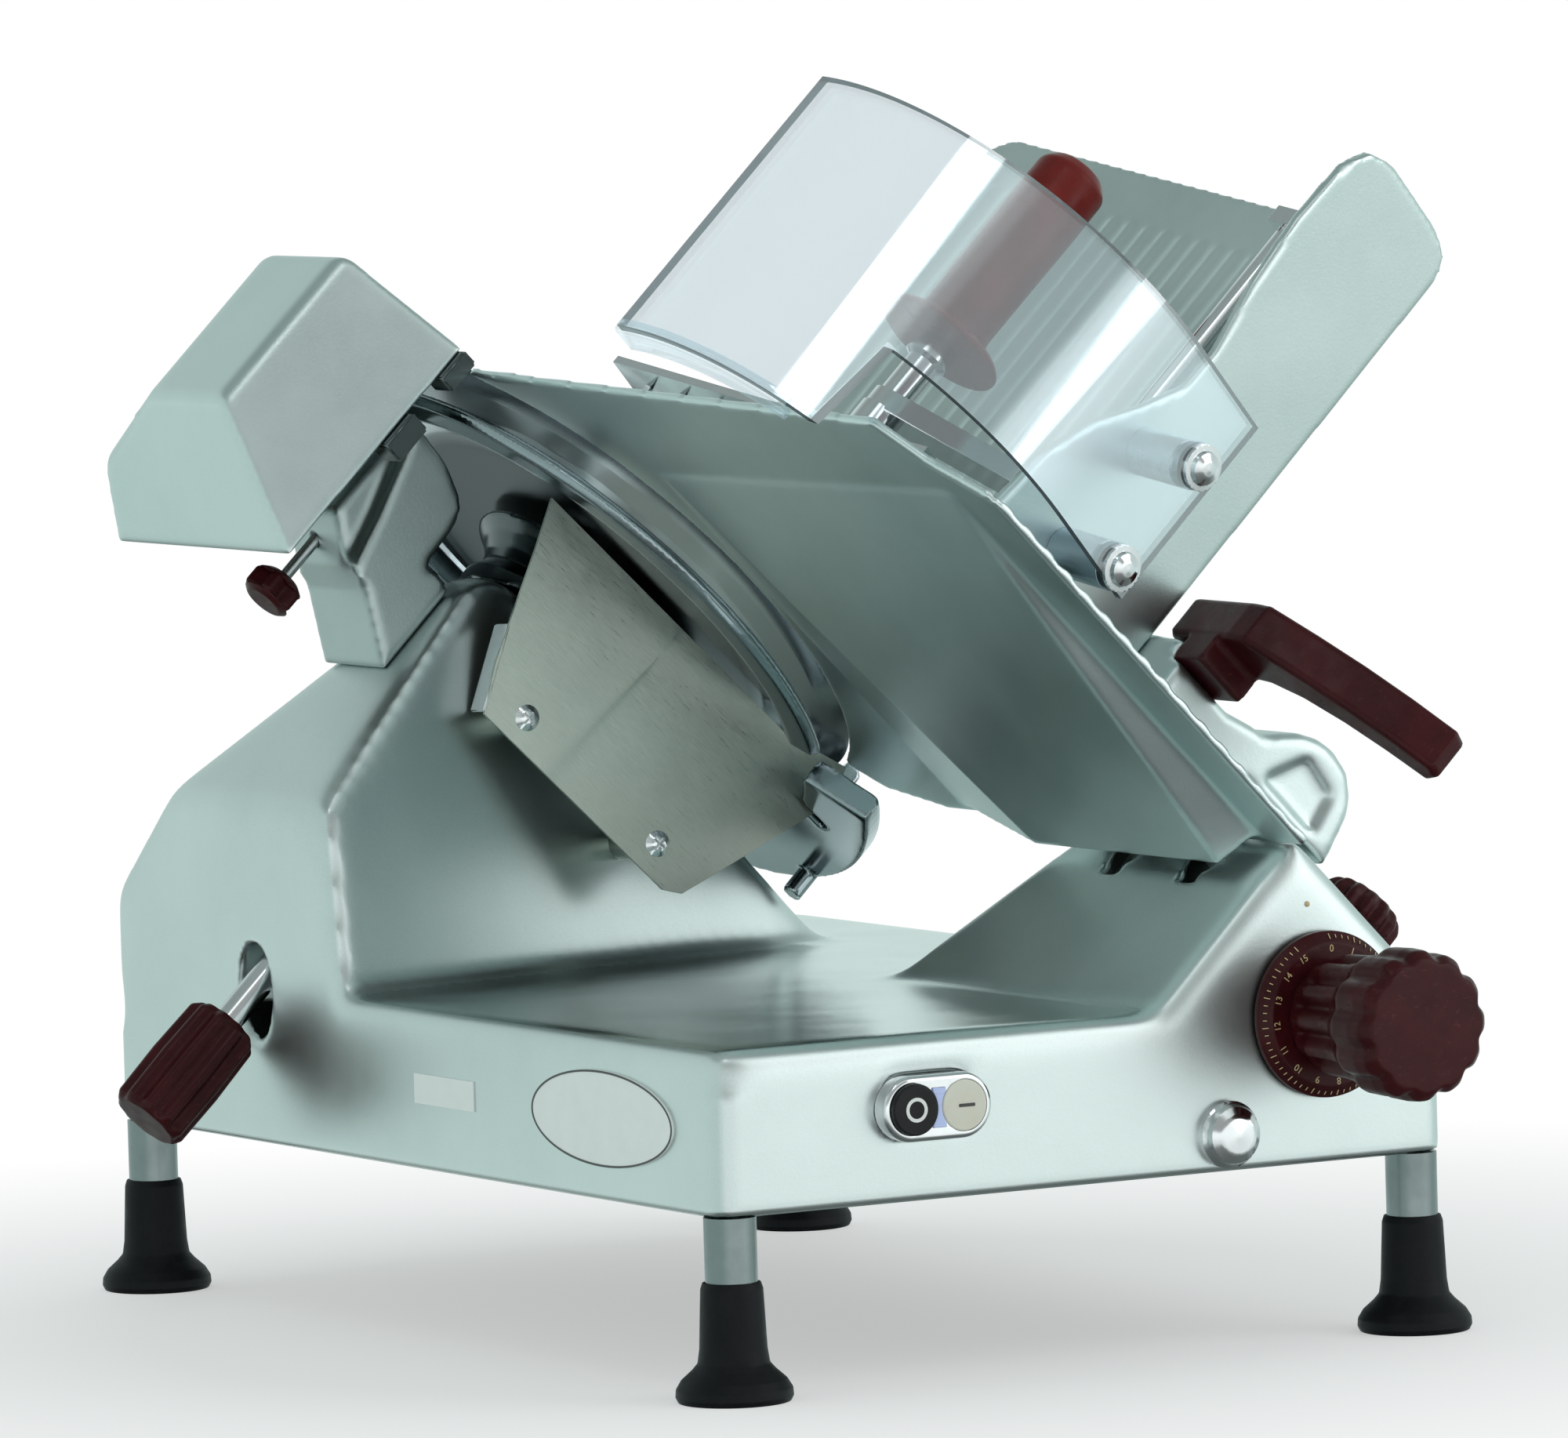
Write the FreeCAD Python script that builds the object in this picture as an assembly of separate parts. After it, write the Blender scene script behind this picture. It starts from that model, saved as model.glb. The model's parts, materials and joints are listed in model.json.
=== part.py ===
import FreeCAD, Part
import math
import os

# Gravity-feed deli slicer for a 300 mm blade. Millimetres, +Z up.
# Body frame: origin at the base casting's front left corner, on the counter.
# +X runs to the operator's right, +Y away from the operator.
# Blade frame: (y, u, n). y is the carriage's travel, u climbs the blade's
# face and n is the blade's axis, which points at the food.
# The finished parts are shifted so that the origin is under the middle of the machine.

V = FreeCAD.Vector

# Whole machine: middle of the footprint in the body frame
MIDDLE_X = 185.74
MIDDLE_Y = 279.5

# Base casting
WIDTH = 390.0
DEPTH = 587.0
UNDERSIDE = 83.4
TABLE = 159.0
WALL = 5.0
CORNER_R = 10.0
FOOT_INSET = 12.0
POST_R = 12.0

# Blade plane
LEAN = math.radians(45.85)
BLADE_Y = 440.0
BLADE_U = 113.0
BLADE_N = 386.0
BLADE_R = 150.0

# Gauge ridge and motor tower, as planes of the blade frame
RIDGE_U = -48.75
RIDGE_N = 389.0
RIDGE_BACK = 242.0
TOWER_U = 178.0
TOWER_N = 336.0
TOWER_FRONT = 353.0
TOWER_FRONT_X = 0.25
TOWER_FRONT_Z = 0.12
TOWER_BACK = 815.0
TOWER_BROW = ((0.0, 23.0), (5.0, 12.5), (14.0, 4.5), (26.0, 0.0))

# Gauge plate and its drive
GAUGE_FRONT = -15.0
GAUGE_THICK = 5.0
GAUGE_ARC_R = 153.0
GAUGE_TRAVEL = 15.0
GAUGE_ROD_U = -80.0
GAUGE_ROD_YS = (62.0, 128.0)
GAUGE_ROD_R = 5.0
DIAL_X = 323.1
DIAL_Z = 152.6
DIAL_TURN = 330.0
CAM_MAX_R = 31.0
ROLLER_R = 5.0
RUNNING_GAP = 0.05
FREE_GAP = 0.15

# Carriage and tray. The tray frame is the blade frame turned about n.
SLIDE_X = 269.5
SLIDE_Z = 101.0
SLIDE_R = 10.0
CARRIAGE_TRAVEL = 260.0
TRAY_TILT = 14.0
TRAY_Y = 58.5
TRAY_U = 48.75
TRAY_FOOT_N = 392.0
TRAY_TOP_N = 664.0
TRAY_WIDTH = 324.0
SHEET = 6.0
STANDOFF_W = 68.0
STANDOFF_NS = (413.0, 475.6)
STANDOFF_R = 11.5
STANDOFF_LENGTH = 34.7
GUARD_SHEET = 4.0
GUARD_LOW_N = 354.0
GUARD_HIGH_N = 511.0
GUARD_R = 143.0

# Food pusher, in the tray frame
PUSHER_F = 24.0
PUSHER_W = 62.0
PUSHER_ROD_R = 6.0
STEM_F = 120.7
STEM_W = 105.7

# Sharpener
SHARP_Y = 455.0
SHARP_N = 338.0
SHARP_FLOOR_U = 268.0
SHARP_POST_R = 8.0
KNOB_Y = 449.0
KNOB_U = 234.0
STONE_SPINDLE_R = 4.0
STONES = {"grinding_stone": (428.0, 295.0, 20.0), "honing_stone": (499.0, 292.0, 15.0)}

# Controls on the front face
SWITCH_X = 110.5
SWITCH_Z = 126.5
SWITCH_HALF = 13.5
SWITCH_R = 15.0
BUTTON_R = 11.8


def u_of(x, z):
    """Blade-frame u of a point of the body frame."""
    return -x * math.cos(LEAN) + z * math.sin(LEAN)


def n_of(x, z):
    """Blade-frame n of a point of the body frame."""
    return x * math.sin(LEAN) + z * math.cos(LEAN)


def x_of(u, n):
    return -u * math.cos(LEAN) + n * math.sin(LEAN)


def z_of(u, n):
    return u * math.sin(LEAN) + n * math.cos(LEAN)


def blade_placement():
    matrix = FreeCAD.Matrix(
        0, -math.cos(LEAN), math.sin(LEAN), 0,
        1, 0, 0, 0,
        0, math.sin(LEAN), math.cos(LEAN), 0,
        0, 0, 0, 1)
    return FreeCAD.Placement(matrix)


def tray_placement():
    turn = FreeCAD.Rotation(V(0, 0, 1), TRAY_TILT)
    return blade_placement().multiply(FreeCAD.Placement(V(TRAY_Y, TRAY_U, 0), turn))


def moved(shape, placement):
    """Carry a shape, and whatever placement it already has, by a placement."""
    result = shape.copy()
    result.Placement = placement.multiply(result.Placement)
    return result


def in_blade_frame(shape):
    return moved(shape, blade_placement())


def in_tray_frame(shape):
    return moved(shape, tray_placement())


def aimed(shape, point, direction):
    """Stand a shape built along +Z at a point, facing a direction."""
    turn = FreeCAD.Rotation(V(0, 0, 1), V(*direction))
    return moved(shape, FreeCAD.Placement(V(*point), turn))


def box(x_low, x_high, y_low, y_high, z_low, z_high):
    return Part.makeBox(x_high - x_low, y_high - y_low, z_high - z_low, V(x_low, y_low, z_low))


def rod(radius, centre, low, high):
    """Cylinder along the third axis, between two heights."""
    return Part.makeCylinder(radius, high - low, V(centre[0], centre[1], low))


def tube(outer, inner, centre, low, high):
    return rod(outer, centre, low, high).cut(rod(inner, centre, low - 1, high + 1))


def corner_point(axis, along, first, second):
    values = [first, second]
    values.insert(axis, along)
    return V(*values)


def prism(points, axis, low, high):
    """Polygon of the plane normal to an axis (0, 1 or 2), extruded along it."""
    corners = [corner_point(axis, low, first, second) for first, second in points]
    face = Part.Face(Part.makePolygon(corners + corners[:1]))
    return face.extrude(corner_point(axis, high - low, 0, 0))


def turned(profile, centre=(0, 0)):
    """Revolve a closed (radius, height) outline about a line parallel to the third axis."""
    corners = [V(centre[0] + radius, centre[1], height) for radius, height in profile]
    face = Part.Face(Part.makePolygon(corners + corners[:1]))
    return face.revolve(V(centre[0], centre[1], 0), V(0, 0, 1), 360)


def stadium(half, radius, low, high):
    """Upright slot shape along the first axis, centred on the origin."""
    body = box(-half, half, -radius, radius, low, high)
    for side in (-half, half):
        body = body.fuse(rod(radius, (side, 0), low, high))
    return body.removeSplitter()


def rounded(shape, radius, chosen):
    """Fillet the edges that a test picks out."""
    edges = [edge for edge in shape.Edges if chosen(edge)]
    return shape.makeFillet(radius, edges)


def is_upright(edge):
    start, end = edge.Vertexes[0].Point, edge.Vertexes[-1].Point
    return abs(start.x - end.x) < 0.01 and abs(start.y - end.y) < 0.01 and abs(start.z - end.z) > 1


def bar(start, end, width, low, high):
    """Flat bar between two points of a plane, with round ends, thick along the third axis."""
    run = math.hypot(end[0] - start[0], end[1] - start[1])
    body = box(0, run, -width / 2, width / 2, low, high)
    turn = FreeCAD.Rotation(V(0, 0, 1), math.degrees(math.atan2(end[1] - start[1], end[0] - start[0])))
    body = moved(body, FreeCAD.Placement(V(start[0], start[1], 0), turn))
    for point in (start, end):
        body = body.fuse(rod(width / 2, point, low, high))
    return body.removeSplitter()


def fluted(radius, depth, count, centre, low, high):
    """Round knob with grooves along its side."""
    body = rod(radius, centre, low, high)
    body = rounded(body, 2.5, lambda edge: edge.Closed and abs(edge.Vertexes[0].Z - edge.Vertexes[-1].Z) < 0.01)
    groove_r = math.pi * radius / count * 0.62
    for index in range(count):
        angle = 2 * math.pi * index / count
        reach = radius + groove_r - depth
        spot = (centre[0] + reach * math.cos(angle), centre[1] + reach * math.sin(angle))
        body = body.cut(rod(groove_r, spot, low - 1, high + 1))
    return body


def one_solid(shape):
    """The single solid of a boolean result."""
    solids = shape.Solids
    return solids[0] if len(solids) == 1 else max(solids, key=lambda solid: solid.Volume)


# ---------------------------------------------------------------- base

def foot_centres():
    near, far = FOOT_INSET, DEPTH - FOOT_INSET
    left, right = FOOT_INSET, WIDTH - FOOT_INSET
    return [(left, near), (right, near), (right, far), (left, far)]


def slab(inset):
    body = box(inset, WIDTH - inset, inset, DEPTH - inset, UNDERSIDE, TABLE - inset)
    radius = CORNER_R - inset
    return rounded(body, radius, is_upright)


def ridge(inset):
    """Ridge that hides the gauge drive: two slopes and a hipped back end."""
    u_side, n_side = RIDGE_U - inset, RIDGE_N - inset
    base = TABLE - 2 * WALL
    left_foot = ((base * math.sin(LEAN) - u_side) / math.cos(LEAN), base)
    peak = (x_of(u_side, n_side), z_of(u_side, n_side))
    right_foot = (WIDTH - inset, (n_side - (WIDTH - inset) * math.sin(LEAN)) / math.cos(LEAN))
    outline = [left_foot, peak, right_foot, (WIDTH - inset, base)]
    body = prism(outline, 1, inset, RIDGE_BACK)
    hip = prism([(RIDGE_BACK - inset, TABLE), (RIDGE_BACK - inset - 95, TABLE + 100),
                 (RIDGE_BACK + 99, TABLE + 100), (RIDGE_BACK + 99, base - 1),
                 (RIDGE_BACK - inset + 9.5, base - 1)], 0, 0, WIDTH + 1)
    return body.cut(hip)


def tower(inset):
    """Motor tower that leans with the blade."""
    u_side, n_side = TOWER_U - inset, TOWER_N - inset
    base = TABLE - 2 * WALL
    shoulder = (inset, (u_side + inset * math.cos(LEAN)) / math.sin(LEAN))
    brow = []
    for drop_u, drop_n in TOWER_BROW:
        u, n = u_side - drop_u, n_side - drop_n
        brow.append((x_of(u, n), z_of(u, n)))
    right_foot = ((n_side - base * math.cos(LEAN)) / math.sin(LEAN), base)
    body = prism([(inset, base), shoulder] + brow + [right_foot], 1, TOWER_FRONT - 60, DEPTH - inset)
    return body.common(tower_front(inset)).common(tower_back(inset))


def tower_front(inset):
    """Everything behind the tower's sloping front face."""
    reach = TOWER_FRONT + inset * 1.1
    corners = []
    for x, z in ((-50, 0), (450, 0), (450, 450), (-50, 450)):
        corners.append(V(x, reach + TOWER_FRONT_X * x + TOWER_FRONT_Z * (z - TABLE), z))
    face = Part.Face(Part.makePolygon(corners + corners[:1]))
    return face.extrude(V(0, 500, 0))


def tower_back(inset):
    """Everything in front of the plane y + u + 0.64 n = TOWER_BACK."""
    limit = TOWER_BACK - inset * 1.55
    corners = []
    for u, n in ((-400, 0), (400, 0), (400, 600), (-400, 600)):
        corners.append(V(limit - u - 0.64 * n, u, n))
    face = Part.Face(Part.makePolygon(corners + corners[:1]))
    return in_blade_frame(face.extrude(V(-1200, 0, 0)))


def tie_rod_boss():
    """Boss inside the tower that carries the tie rod, and the scoop that shows from outside."""
    boss = in_blade_frame(rod(27, (BLADE_Y, BLADE_U), 96, 168))
    return boss.common(tower(0))


def tie_rod_scoop():
    scoop = turned([(0, 40), (27, 40), (11, 152), (0, 152)], (BLADE_Y, BLADE_U))
    bore = rod(7 + FREE_GAP, (BLADE_Y, BLADE_U), 30, 200)
    return in_blade_frame(scoop.fuse(bore))


def gauge_slots():
    """Openings in the ridge for the two gauge stems, long enough for the gauge's travel."""
    slots = []
    for y in GAUGE_ROD_YS:
        slots.append(box(y - 7, y + 7, RIDGE_U - 8, RIDGE_U + 3, 355.5, 380.5))
    return in_blade_frame(Part.makeCompound(slots))


def rod_shelf():
    """Cast shelf behind the front wall that carries the gauge rods' lower ends."""
    shelf = box(2, 142, GAUGE_ROD_U - 10, GAUGE_ROD_U + 10, 236, 248)
    for y in GAUGE_ROD_YS:
        shelf = shelf.cut(rod(GAUGE_ROD_R + FREE_GAP, (y, GAUGE_ROD_U), 241, 260))
    return in_blade_frame(shelf)


def base_casting():
    outer = slab(0).fuse([ridge(0), tower(0)]).removeSplitter()
    inner = slab(WALL).fuse([ridge(WALL), tower(WALL)])
    body = outer.cut(inner)
    extras = [tie_rod_boss(), rod_shelf()]
    for centre in foot_centres():
        extras.append(rod(11.5, centre, UNDERSIDE + 2.6, UNDERSIDE + 42))
    extras.append(aimed(rod(12, (0, 0), 0, 12), (DIAL_X, 0, DIAL_Z), (0, 1, 0)))
    body = body.fuse(extras)
    cutters = [tie_rod_scoop(), gauge_slots()]
    for centre in foot_centres():
        cutters.append(rod(5 + FREE_GAP, centre, UNDERSIDE - 1, UNDERSIDE + 32))
    cutters.append(in_blade_frame(rod(22 + FREE_GAP, (BLADE_Y, BLADE_U), 250, 400)))
    cutters.append(aimed(rod(6 + RUNNING_GAP, (0, 0), -1, 14), (DIAL_X, 0, DIAL_Z), (0, 1, 0)))
    cutters.append(aimed(rod(SLIDE_R + FREE_GAP, (0, 0), -1, 6), (SLIDE_X, 0, SLIDE_Z), (0, 1, 0)))
    cutters.append(switch_opening())
    cutters.append(box(WIDTH - 7, WIDTH + 1, 26, 366, 103, 119))
    cutters.append(aimed(rod(8 + FREE_GAP, (0, 0), -1, 7), (120, DEPTH, 120), (0, -1, 0)))
    return one_solid(body.cut(cutters))


def switch_opening():
    """Hole in the front wall for the switch body."""
    opening = stadium(SWITCH_HALF, SWITCH_R - 2.5, -6, 6)
    return aimed(opening, (SWITCH_X, 0, SWITCH_Z), (0, -1, 0))


def bottom_plate():
    low, high = UNDERSIDE, UNDERSIDE + 2
    plate = box(WALL + 0.2, WIDTH - WALL - 0.2, WALL + 0.2, DEPTH - WALL - 0.2, low, high)
    for centre in foot_centres():
        plate = plate.cut(rod(12.6, centre, low - 1, high + 1))
    for index in range(7):
        start = 120 + 24 * index
        plate = plate.cut(box(150, 240, start, start + 8, low - 1, high + 1))
    return one_solid(plate)


def foot_posts():
    post = [(0, 9), (POST_R, 9), (POST_R, UNDERSIDE), (5, UNDERSIDE), (5, UNDERSIDE + 30), (0, UNDERSIDE + 30)]
    return [turned(post, centre) for centre in foot_centres()]


def rubber_feet():
    boot = [(0, 0), (25, 0), (26.7, 2), (26.2, 6), (23, 11), (17.5, 15.5), (16.2, 17),
            (15.6, 22), (14, 52), (13.2, 54), (POST_R + FREE_GAP, 54), (POST_R + FREE_GAP, 9), (0, 9)]
    return [turned(boot, centre) for centre in foot_centres()]


# ---------------------------------------------------------------- front controls

def on_front(shape, x, z):
    """A part built along +Z faces the operator from the front wall."""
    return aimed(shape, (x, 0, z), (0, -1, 0))


def switch_bezel():
    """Chromed rim with two wells, and the switch body behind the wall."""
    rim = stadium(SWITCH_HALF, SWITCH_R, 0, 9)
    rim = rounded(rim, 2.5, lambda edge: edge.BoundBox.ZMin > 8.9)
    body = stadium(SWITCH_HALF, SWITCH_R - 2.7, -26, 0)
    whole = rim.fuse(body).removeSplitter()
    for side in (-SWITCH_HALF, SWITCH_HALF):
        whole = whole.cut(rod(BUTTON_R + FREE_GAP, (side, 0), -6, 20))
    whole = whole.cut(lens_solid(FREE_GAP, 2, 20))
    return on_front(whole, SWITCH_X, SWITCH_Z)


def lens_solid(extra, low, high):
    """Slim pilot lens between the two buttons."""
    middle = box(-3.4 - extra, 3.4 + extra, -9 - extra, 9 + extra, low, high)
    for side in (-SWITCH_HALF, SWITCH_HALF):
        middle = middle.cut(rod(BUTTON_R + 0.6 - extra, (side, 0), low - 1, high + 1))
    return middle


def pilot_lens():
    return on_front(one_solid(lens_solid(0, 2, 10)), SWITCH_X, SWITCH_Z)


def button(side, high):
    cap = rod(BUTTON_R, (side * SWITCH_HALF, 0), -2, high)
    cap = rounded(cap, 1, lambda edge: edge.Closed and edge.BoundBox.ZMin > high - 0.1)
    return on_front(cap, SWITCH_X, SWITCH_Z)


def guide_rod_cap():
    """Domed cap over the slide rod's front bolt."""
    cap = turned([(0, 0), (15.5, 0), (15.5, 3.5), (14, 5), (13, 8), (9, 10.5), (0, 11.5)])
    return on_front(cap, SLIDE_X, SLIDE_Z)


def name_plates():
    """Blank oval badge and blank small label on the left face."""
    badge = Part.Face(Part.Wire(Part.Ellipse(V(0, 0, 0), 64.5, 22).toShape())).extrude(V(0, 0, 1.2))
    turn = FreeCAD.Rotation(V(0, -1, 0), V(0, 0, 1), V(-1, 0, 0), "XYZ")
    badge = moved(badge, FreeCAD.Placement(V(0, 103.2, 121.4), turn))
    label = box(-0.8, 0, 224, 281, 115, 129)
    return [badge, label]


# ---------------------------------------------------------------- blade drive

def spindle_axis(shape):
    return in_blade_frame(moved(shape, FreeCAD.Placement(V(BLADE_Y, BLADE_U, 0), FreeCAD.Rotation())))


def spindle_housing():
    flare = [(20, 320), (50, 320), (50, 343), (47.5, 345), (46, 349), (48, 355), (53, 361), (60, 365.5),
             (60, 367.5), (20, 367.5)]
    neck = in_blade_frame(turned(flare, (BLADE_Y, BLADE_U))).cut(tower(0))
    barrel = [(17.05, 299), (22, 299), (22, 367.5), (13.5, 367.5), (13.5, 351), (17.05, 351)]
    return one_solid(neck.fuse(spindle_axis(turned(barrel))).removeSplitter())


def spindle_bearings():
    rings = []
    for low in (300, 338.9):
        rings.append(spindle_axis(tube(17, 12 + RUNNING_GAP, (0, 0), low, low + 12)))
    return rings


def blade_screw_spots():
    return [(22 * math.cos(math.radians(45 + 90 * i)), 22 * math.sin(math.radians(45 + 90 * i)))
            for i in range(4)]


def blade_spindle():
    profile = [(6, 270), (12, 270), (12, 369), (32, 369), (32, 373), (6, 373)]
    body = turned(profile)
    for spot in blade_screw_spots():
        body = body.cut(rod(2.6, spot, 368, 374))
    return spindle_axis(body)


def blade():
    rim = BLADE_N
    profile = [(9, rim - 9.5), (104, rim - 9.5), (122, rim - 4), (138, rim - 1.4), (BLADE_R, rim),
               (BLADE_R, rim - 0.3), (137, rim - 4.5), (122, rim - 7.5), (106, rim - 13), (9, rim - 13)]
    body = turned(profile)
    for spot in blade_screw_spots():
        body = body.cut(rod(2.6, spot, rim - 14, rim))
    return spindle_axis(body)


def blade_screws():
    screws = []
    for spot in blade_screw_spots():
        head = rod(4.5, spot, 376.5, 379.3).fuse(rod(2.5, spot, 369.5, 376.6))
        screws.append(spindle_axis(head.removeSplitter()))
    return screws


def blade_cover():
    """Disc on the food side that the tie rod pulls against the spindle's end stop."""
    profile = [(0, 384.6), (88, 384.6), (98, 383.2), (100, 381.4), (98, 381), (12, 381), (12, 378),
               (5.1, 378), (5.1, 382), (0, 382)]
    return spindle_axis(turned(profile))


def tie_rod():
    profile = [(0, 60), (7, 60), (7, 169), (5, 172), (5, 381.8), (0, 381.8)]
    return spindle_axis(turned(profile))


def tie_rod_knob():
    knob = fluted(19.5, 2.2, 10, (0, 0), 24, 88)
    return spindle_axis(knob.cut(rod(7.05, (0, 0), 59.9, 100)))


MOTOR_Y = 510.0
MOTOR_U = 20.0
MOTOR_PULLEY_R = 14.0
BLADE_PULLEY_R = 22.0
BELT_LOW = 283.0
BELT_HIGH = 295.0


def motor_axis(shape):
    return in_blade_frame(moved(shape, FreeCAD.Placement(V(MOTOR_Y, MOTOR_U, 0), FreeCAD.Rotation())))


def electric_motor():
    """Induction motor with a finned shell, bolted to a lug below the tower's top."""
    body = turned([(9, 168), (44, 168), (44, 262), (36, 268), (9, 268)])
    for index in range(16):
        angle = 22.5 * index
        slot = moved(box(40, 60, -3, 3, 180, 252), FreeCAD.Placement(V(), FreeCAD.Rotation(V(0, 0, 1), angle)))
        body = body.cut(slot)
    return motor_axis(body)


def motor_pulley():
    """Rotor shaft with its grooved pulley."""
    return motor_axis(turned([(0, 160), (8.9, 160), (8.9, 280), (17, 280), (17, BELT_LOW - 0.5),
                              (MOTOR_PULLEY_R, BELT_LOW - 0.5), (MOTOR_PULLEY_R, BELT_HIGH + 0.5),
                              (17, BELT_HIGH + 0.5), (17, 298), (0, 298)]))


def blade_pulley():
    profile = [(12 + 0.02, 280), (25, 280), (25, BELT_LOW - 0.5), (BLADE_PULLEY_R, BELT_LOW - 0.5),
               (BLADE_PULLEY_R, BELT_HIGH + 0.5), (25, BELT_HIGH + 0.5), (25, 298), (12 + 0.02, 298)]
    return spindle_axis(turned(profile))


def belt_outline(extra, low, high):
    """Shape around both pulleys with its straight sides on their outer tangents."""
    run = math.hypot(BLADE_Y - MOTOR_Y, BLADE_U - MOTOR_U)
    large, small = BLADE_PULLEY_R + extra, MOTOR_PULLEY_R + extra
    tilt = math.asin((large - small) / run)
    corners = []
    for sign in (1, -1):
        corners.append((large * math.sin(tilt), sign * large * math.cos(tilt)))
        corners.append((run + small * math.sin(tilt), sign * small * math.cos(tilt)))
    outline = [corners[0], corners[1], corners[3], corners[2]]
    body = prism(outline, 2, low, high)
    body = body.fuse([rod(large, (0, 0), low, high), rod(small, (run, 0), low, high)])
    turn = math.degrees(math.atan2(MOTOR_U - BLADE_U, MOTOR_Y - BLADE_Y))
    return moved(body, FreeCAD.Placement(V(BLADE_Y, BLADE_U, 0), FreeCAD.Rotation(V(0, 0, 1), turn)))


def drive_belt():
    loop = belt_outline(2.3, BELT_LOW, BELT_HIGH).cut(belt_outline(0.3, BELT_LOW - 1, BELT_HIGH + 1))
    return in_blade_frame(one_solid(loop))


# ---------------------------------------------------------------- guards and deflector

GUARD_INNER_R = 153.5
GUARD_OUTER_R = 163.0
STAY_Y = 423.0
STAY_U = -69.5


def deflector_frame(shape):
    """The deflector's plane is square to the blade and turned slightly about n."""
    turn = FreeCAD.Rotation(V(0, 0, 1), -4.8)
    return in_blade_frame(moved(shape, FreeCAD.Placement(V(366, 13, 0), turn)))


def slice_deflector():
    outline = [(170, 369), (1, 370), (-34, 380), (-40, 364), (-24, 317), (-9, 275), (0, 269.5),
               (127, 268), (139, 290), (160, 345)]
    plate = prism(outline, 0, -1, 1)
    for u, n in deflector_screw_spots():
        plate = plate.cut(aimed(rod(2.6, (0, 0), -5, 5), (0, u, n), (1, 0, 0)))
    return deflector_frame(plate)


def deflector_screw_spots():
    return [(109, 282), (17, 284)]


def deflector_screws():
    screws = []
    for u, n in deflector_screw_spots():
        screw = turned([(0, -3.6), (3.5, -3.2), (6.4, -1), (2.5, -1), (2.5, 9), (0, 9)])
        screw = screw.cut(box(-3.4, 3.4, -0.5, 0.5, -4, -2.2)).cut(box(-0.5, 0.5, -3.4, 3.4, -4, -2.2))
        screws.append(deflector_frame(aimed(screw, (0, u, n), (1, 0, 0))))
    return screws


def deflector_posts():
    """Two posts from the tower's front face to the back of the deflector."""
    posts = []
    for u, n in deflector_screw_spots():
        post = deflector_frame(aimed(tube(8, 2.6, (0, 0), 1, 90), (0, u, n), (1, 0, 0)))
        plug = deflector_frame(aimed(rod(8, (0, 0), 12, 90), (0, u, n), (1, 0, 0)))
        posts.append(one_solid(post.fuse(plug).cut(tower_front(0)).removeSplitter()))
    return posts


def wedge(start, end, low, high):
    """Pie slice about the blade's axis, between two angles in degrees."""
    steps = 12
    points = [(0, 0)]
    for index in range(steps + 1):
        angle = math.radians(start + (end - start) * index / steps)
        points.append((260 * math.cos(angle), 260 * math.sin(angle)))
    return prism(points, 2, low, high)


def ring_guard():
    """Rim around the blade's far side, a rail behind its edge, and a flange with a stay to the tower."""
    rim = [(GUARD_INNER_R, 368), (GUARD_OUTER_R - 3, 368), (GUARD_OUTER_R, 371), (GUARD_OUTER_R, 388),
           (GUARD_OUTER_R - 3, 391), (GUARD_INNER_R, 391)]
    body = turned(rim).common(wedge(-112, 68, 360, 400))
    web = [(145, 360), (GUARD_OUTER_R - 3, 364), (GUARD_OUTER_R, 369), (GUARD_INNER_R, 369), (145, 366)]
    body = body.fuse(turned(web).common(wedge(-112, 68, 340, 400)))
    rail = [(131, 361), (137, 358), (149, 358.5), (152, 362), (149, 366), (139, 366), (134, 369), (130, 367)]
    body = body.fuse(turned(rail).common(wedge(-112, 222, 340, 400)))
    flange = [(149, 350), (187, 350), (187, 361), (184, 364), (149, 364)]
    body = body.fuse(turned(flange).common(wedge(-134, -70, 340, 400)))
    lug = prism([(-62, -142), (-40, -170), (20, -176), (46, -148)], 2, 360, 373)
    stay = rod(5, (STAY_Y - BLADE_Y, STAY_U - BLADE_U), TOWER_N, 356)
    body = body.fuse([lug, stay])
    body = body.cut(turned([(120, 374.1), (152.9, 374.1), (152.9, 400), (120, 400)]))
    body = spindle_axis(body)
    slot = deflector_frame(prism([(-45, 250), (-45, 400), (190, 400), (190, 250)], 0, -3, 3))
    return one_solid(body.cut(slot).cut(in_blade_frame(bracket_solid())))


# ---------------------------------------------------------------- sharpener

def bracket_solid():
    """Column with a pointed fin along its front."""
    column = [(TOWER_U, 258), (TOWER_U, 311), (195.5, 311), (197.5, 338), (205, 347.5), (222, 354),
              (248, 354), (248, 300), (225, 284), (212, 279)]
    fin = [(TOWER_U, 258), (TOWER_U, 311), (195.5, 311), (197.5, 338), (205, 347.5), (222, 354),
           (247, 356.5), (232, 311), (225, 284), (212, 279)]
    return prism(column, 0, 422, 474).fuse(prism(fin, 0, 412, 423)).removeSplitter()


def sharpener_bracket():
    """Column on the tower's shoulder, with the post's bore and a clamp bore."""
    body = bracket_solid()
    post = aimed(rod(SHARP_POST_R + FREE_GAP, (0, 0), -40, 10), (SHARP_Y, 248, SHARP_N), (0, 1, 0))
    clamp = rod(3.1, (KNOB_Y, KNOB_U), 280, SHARP_N)
    return in_blade_frame(body.cut([post, clamp]))


def sharpener_post():
    """Upright post that the sharpener lifts and turns on."""
    return in_blade_frame(aimed(rod(SHARP_POST_R, (0, 0), 210, 318), (SHARP_Y, 0, SHARP_N), (0, 1, 0)))


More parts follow.
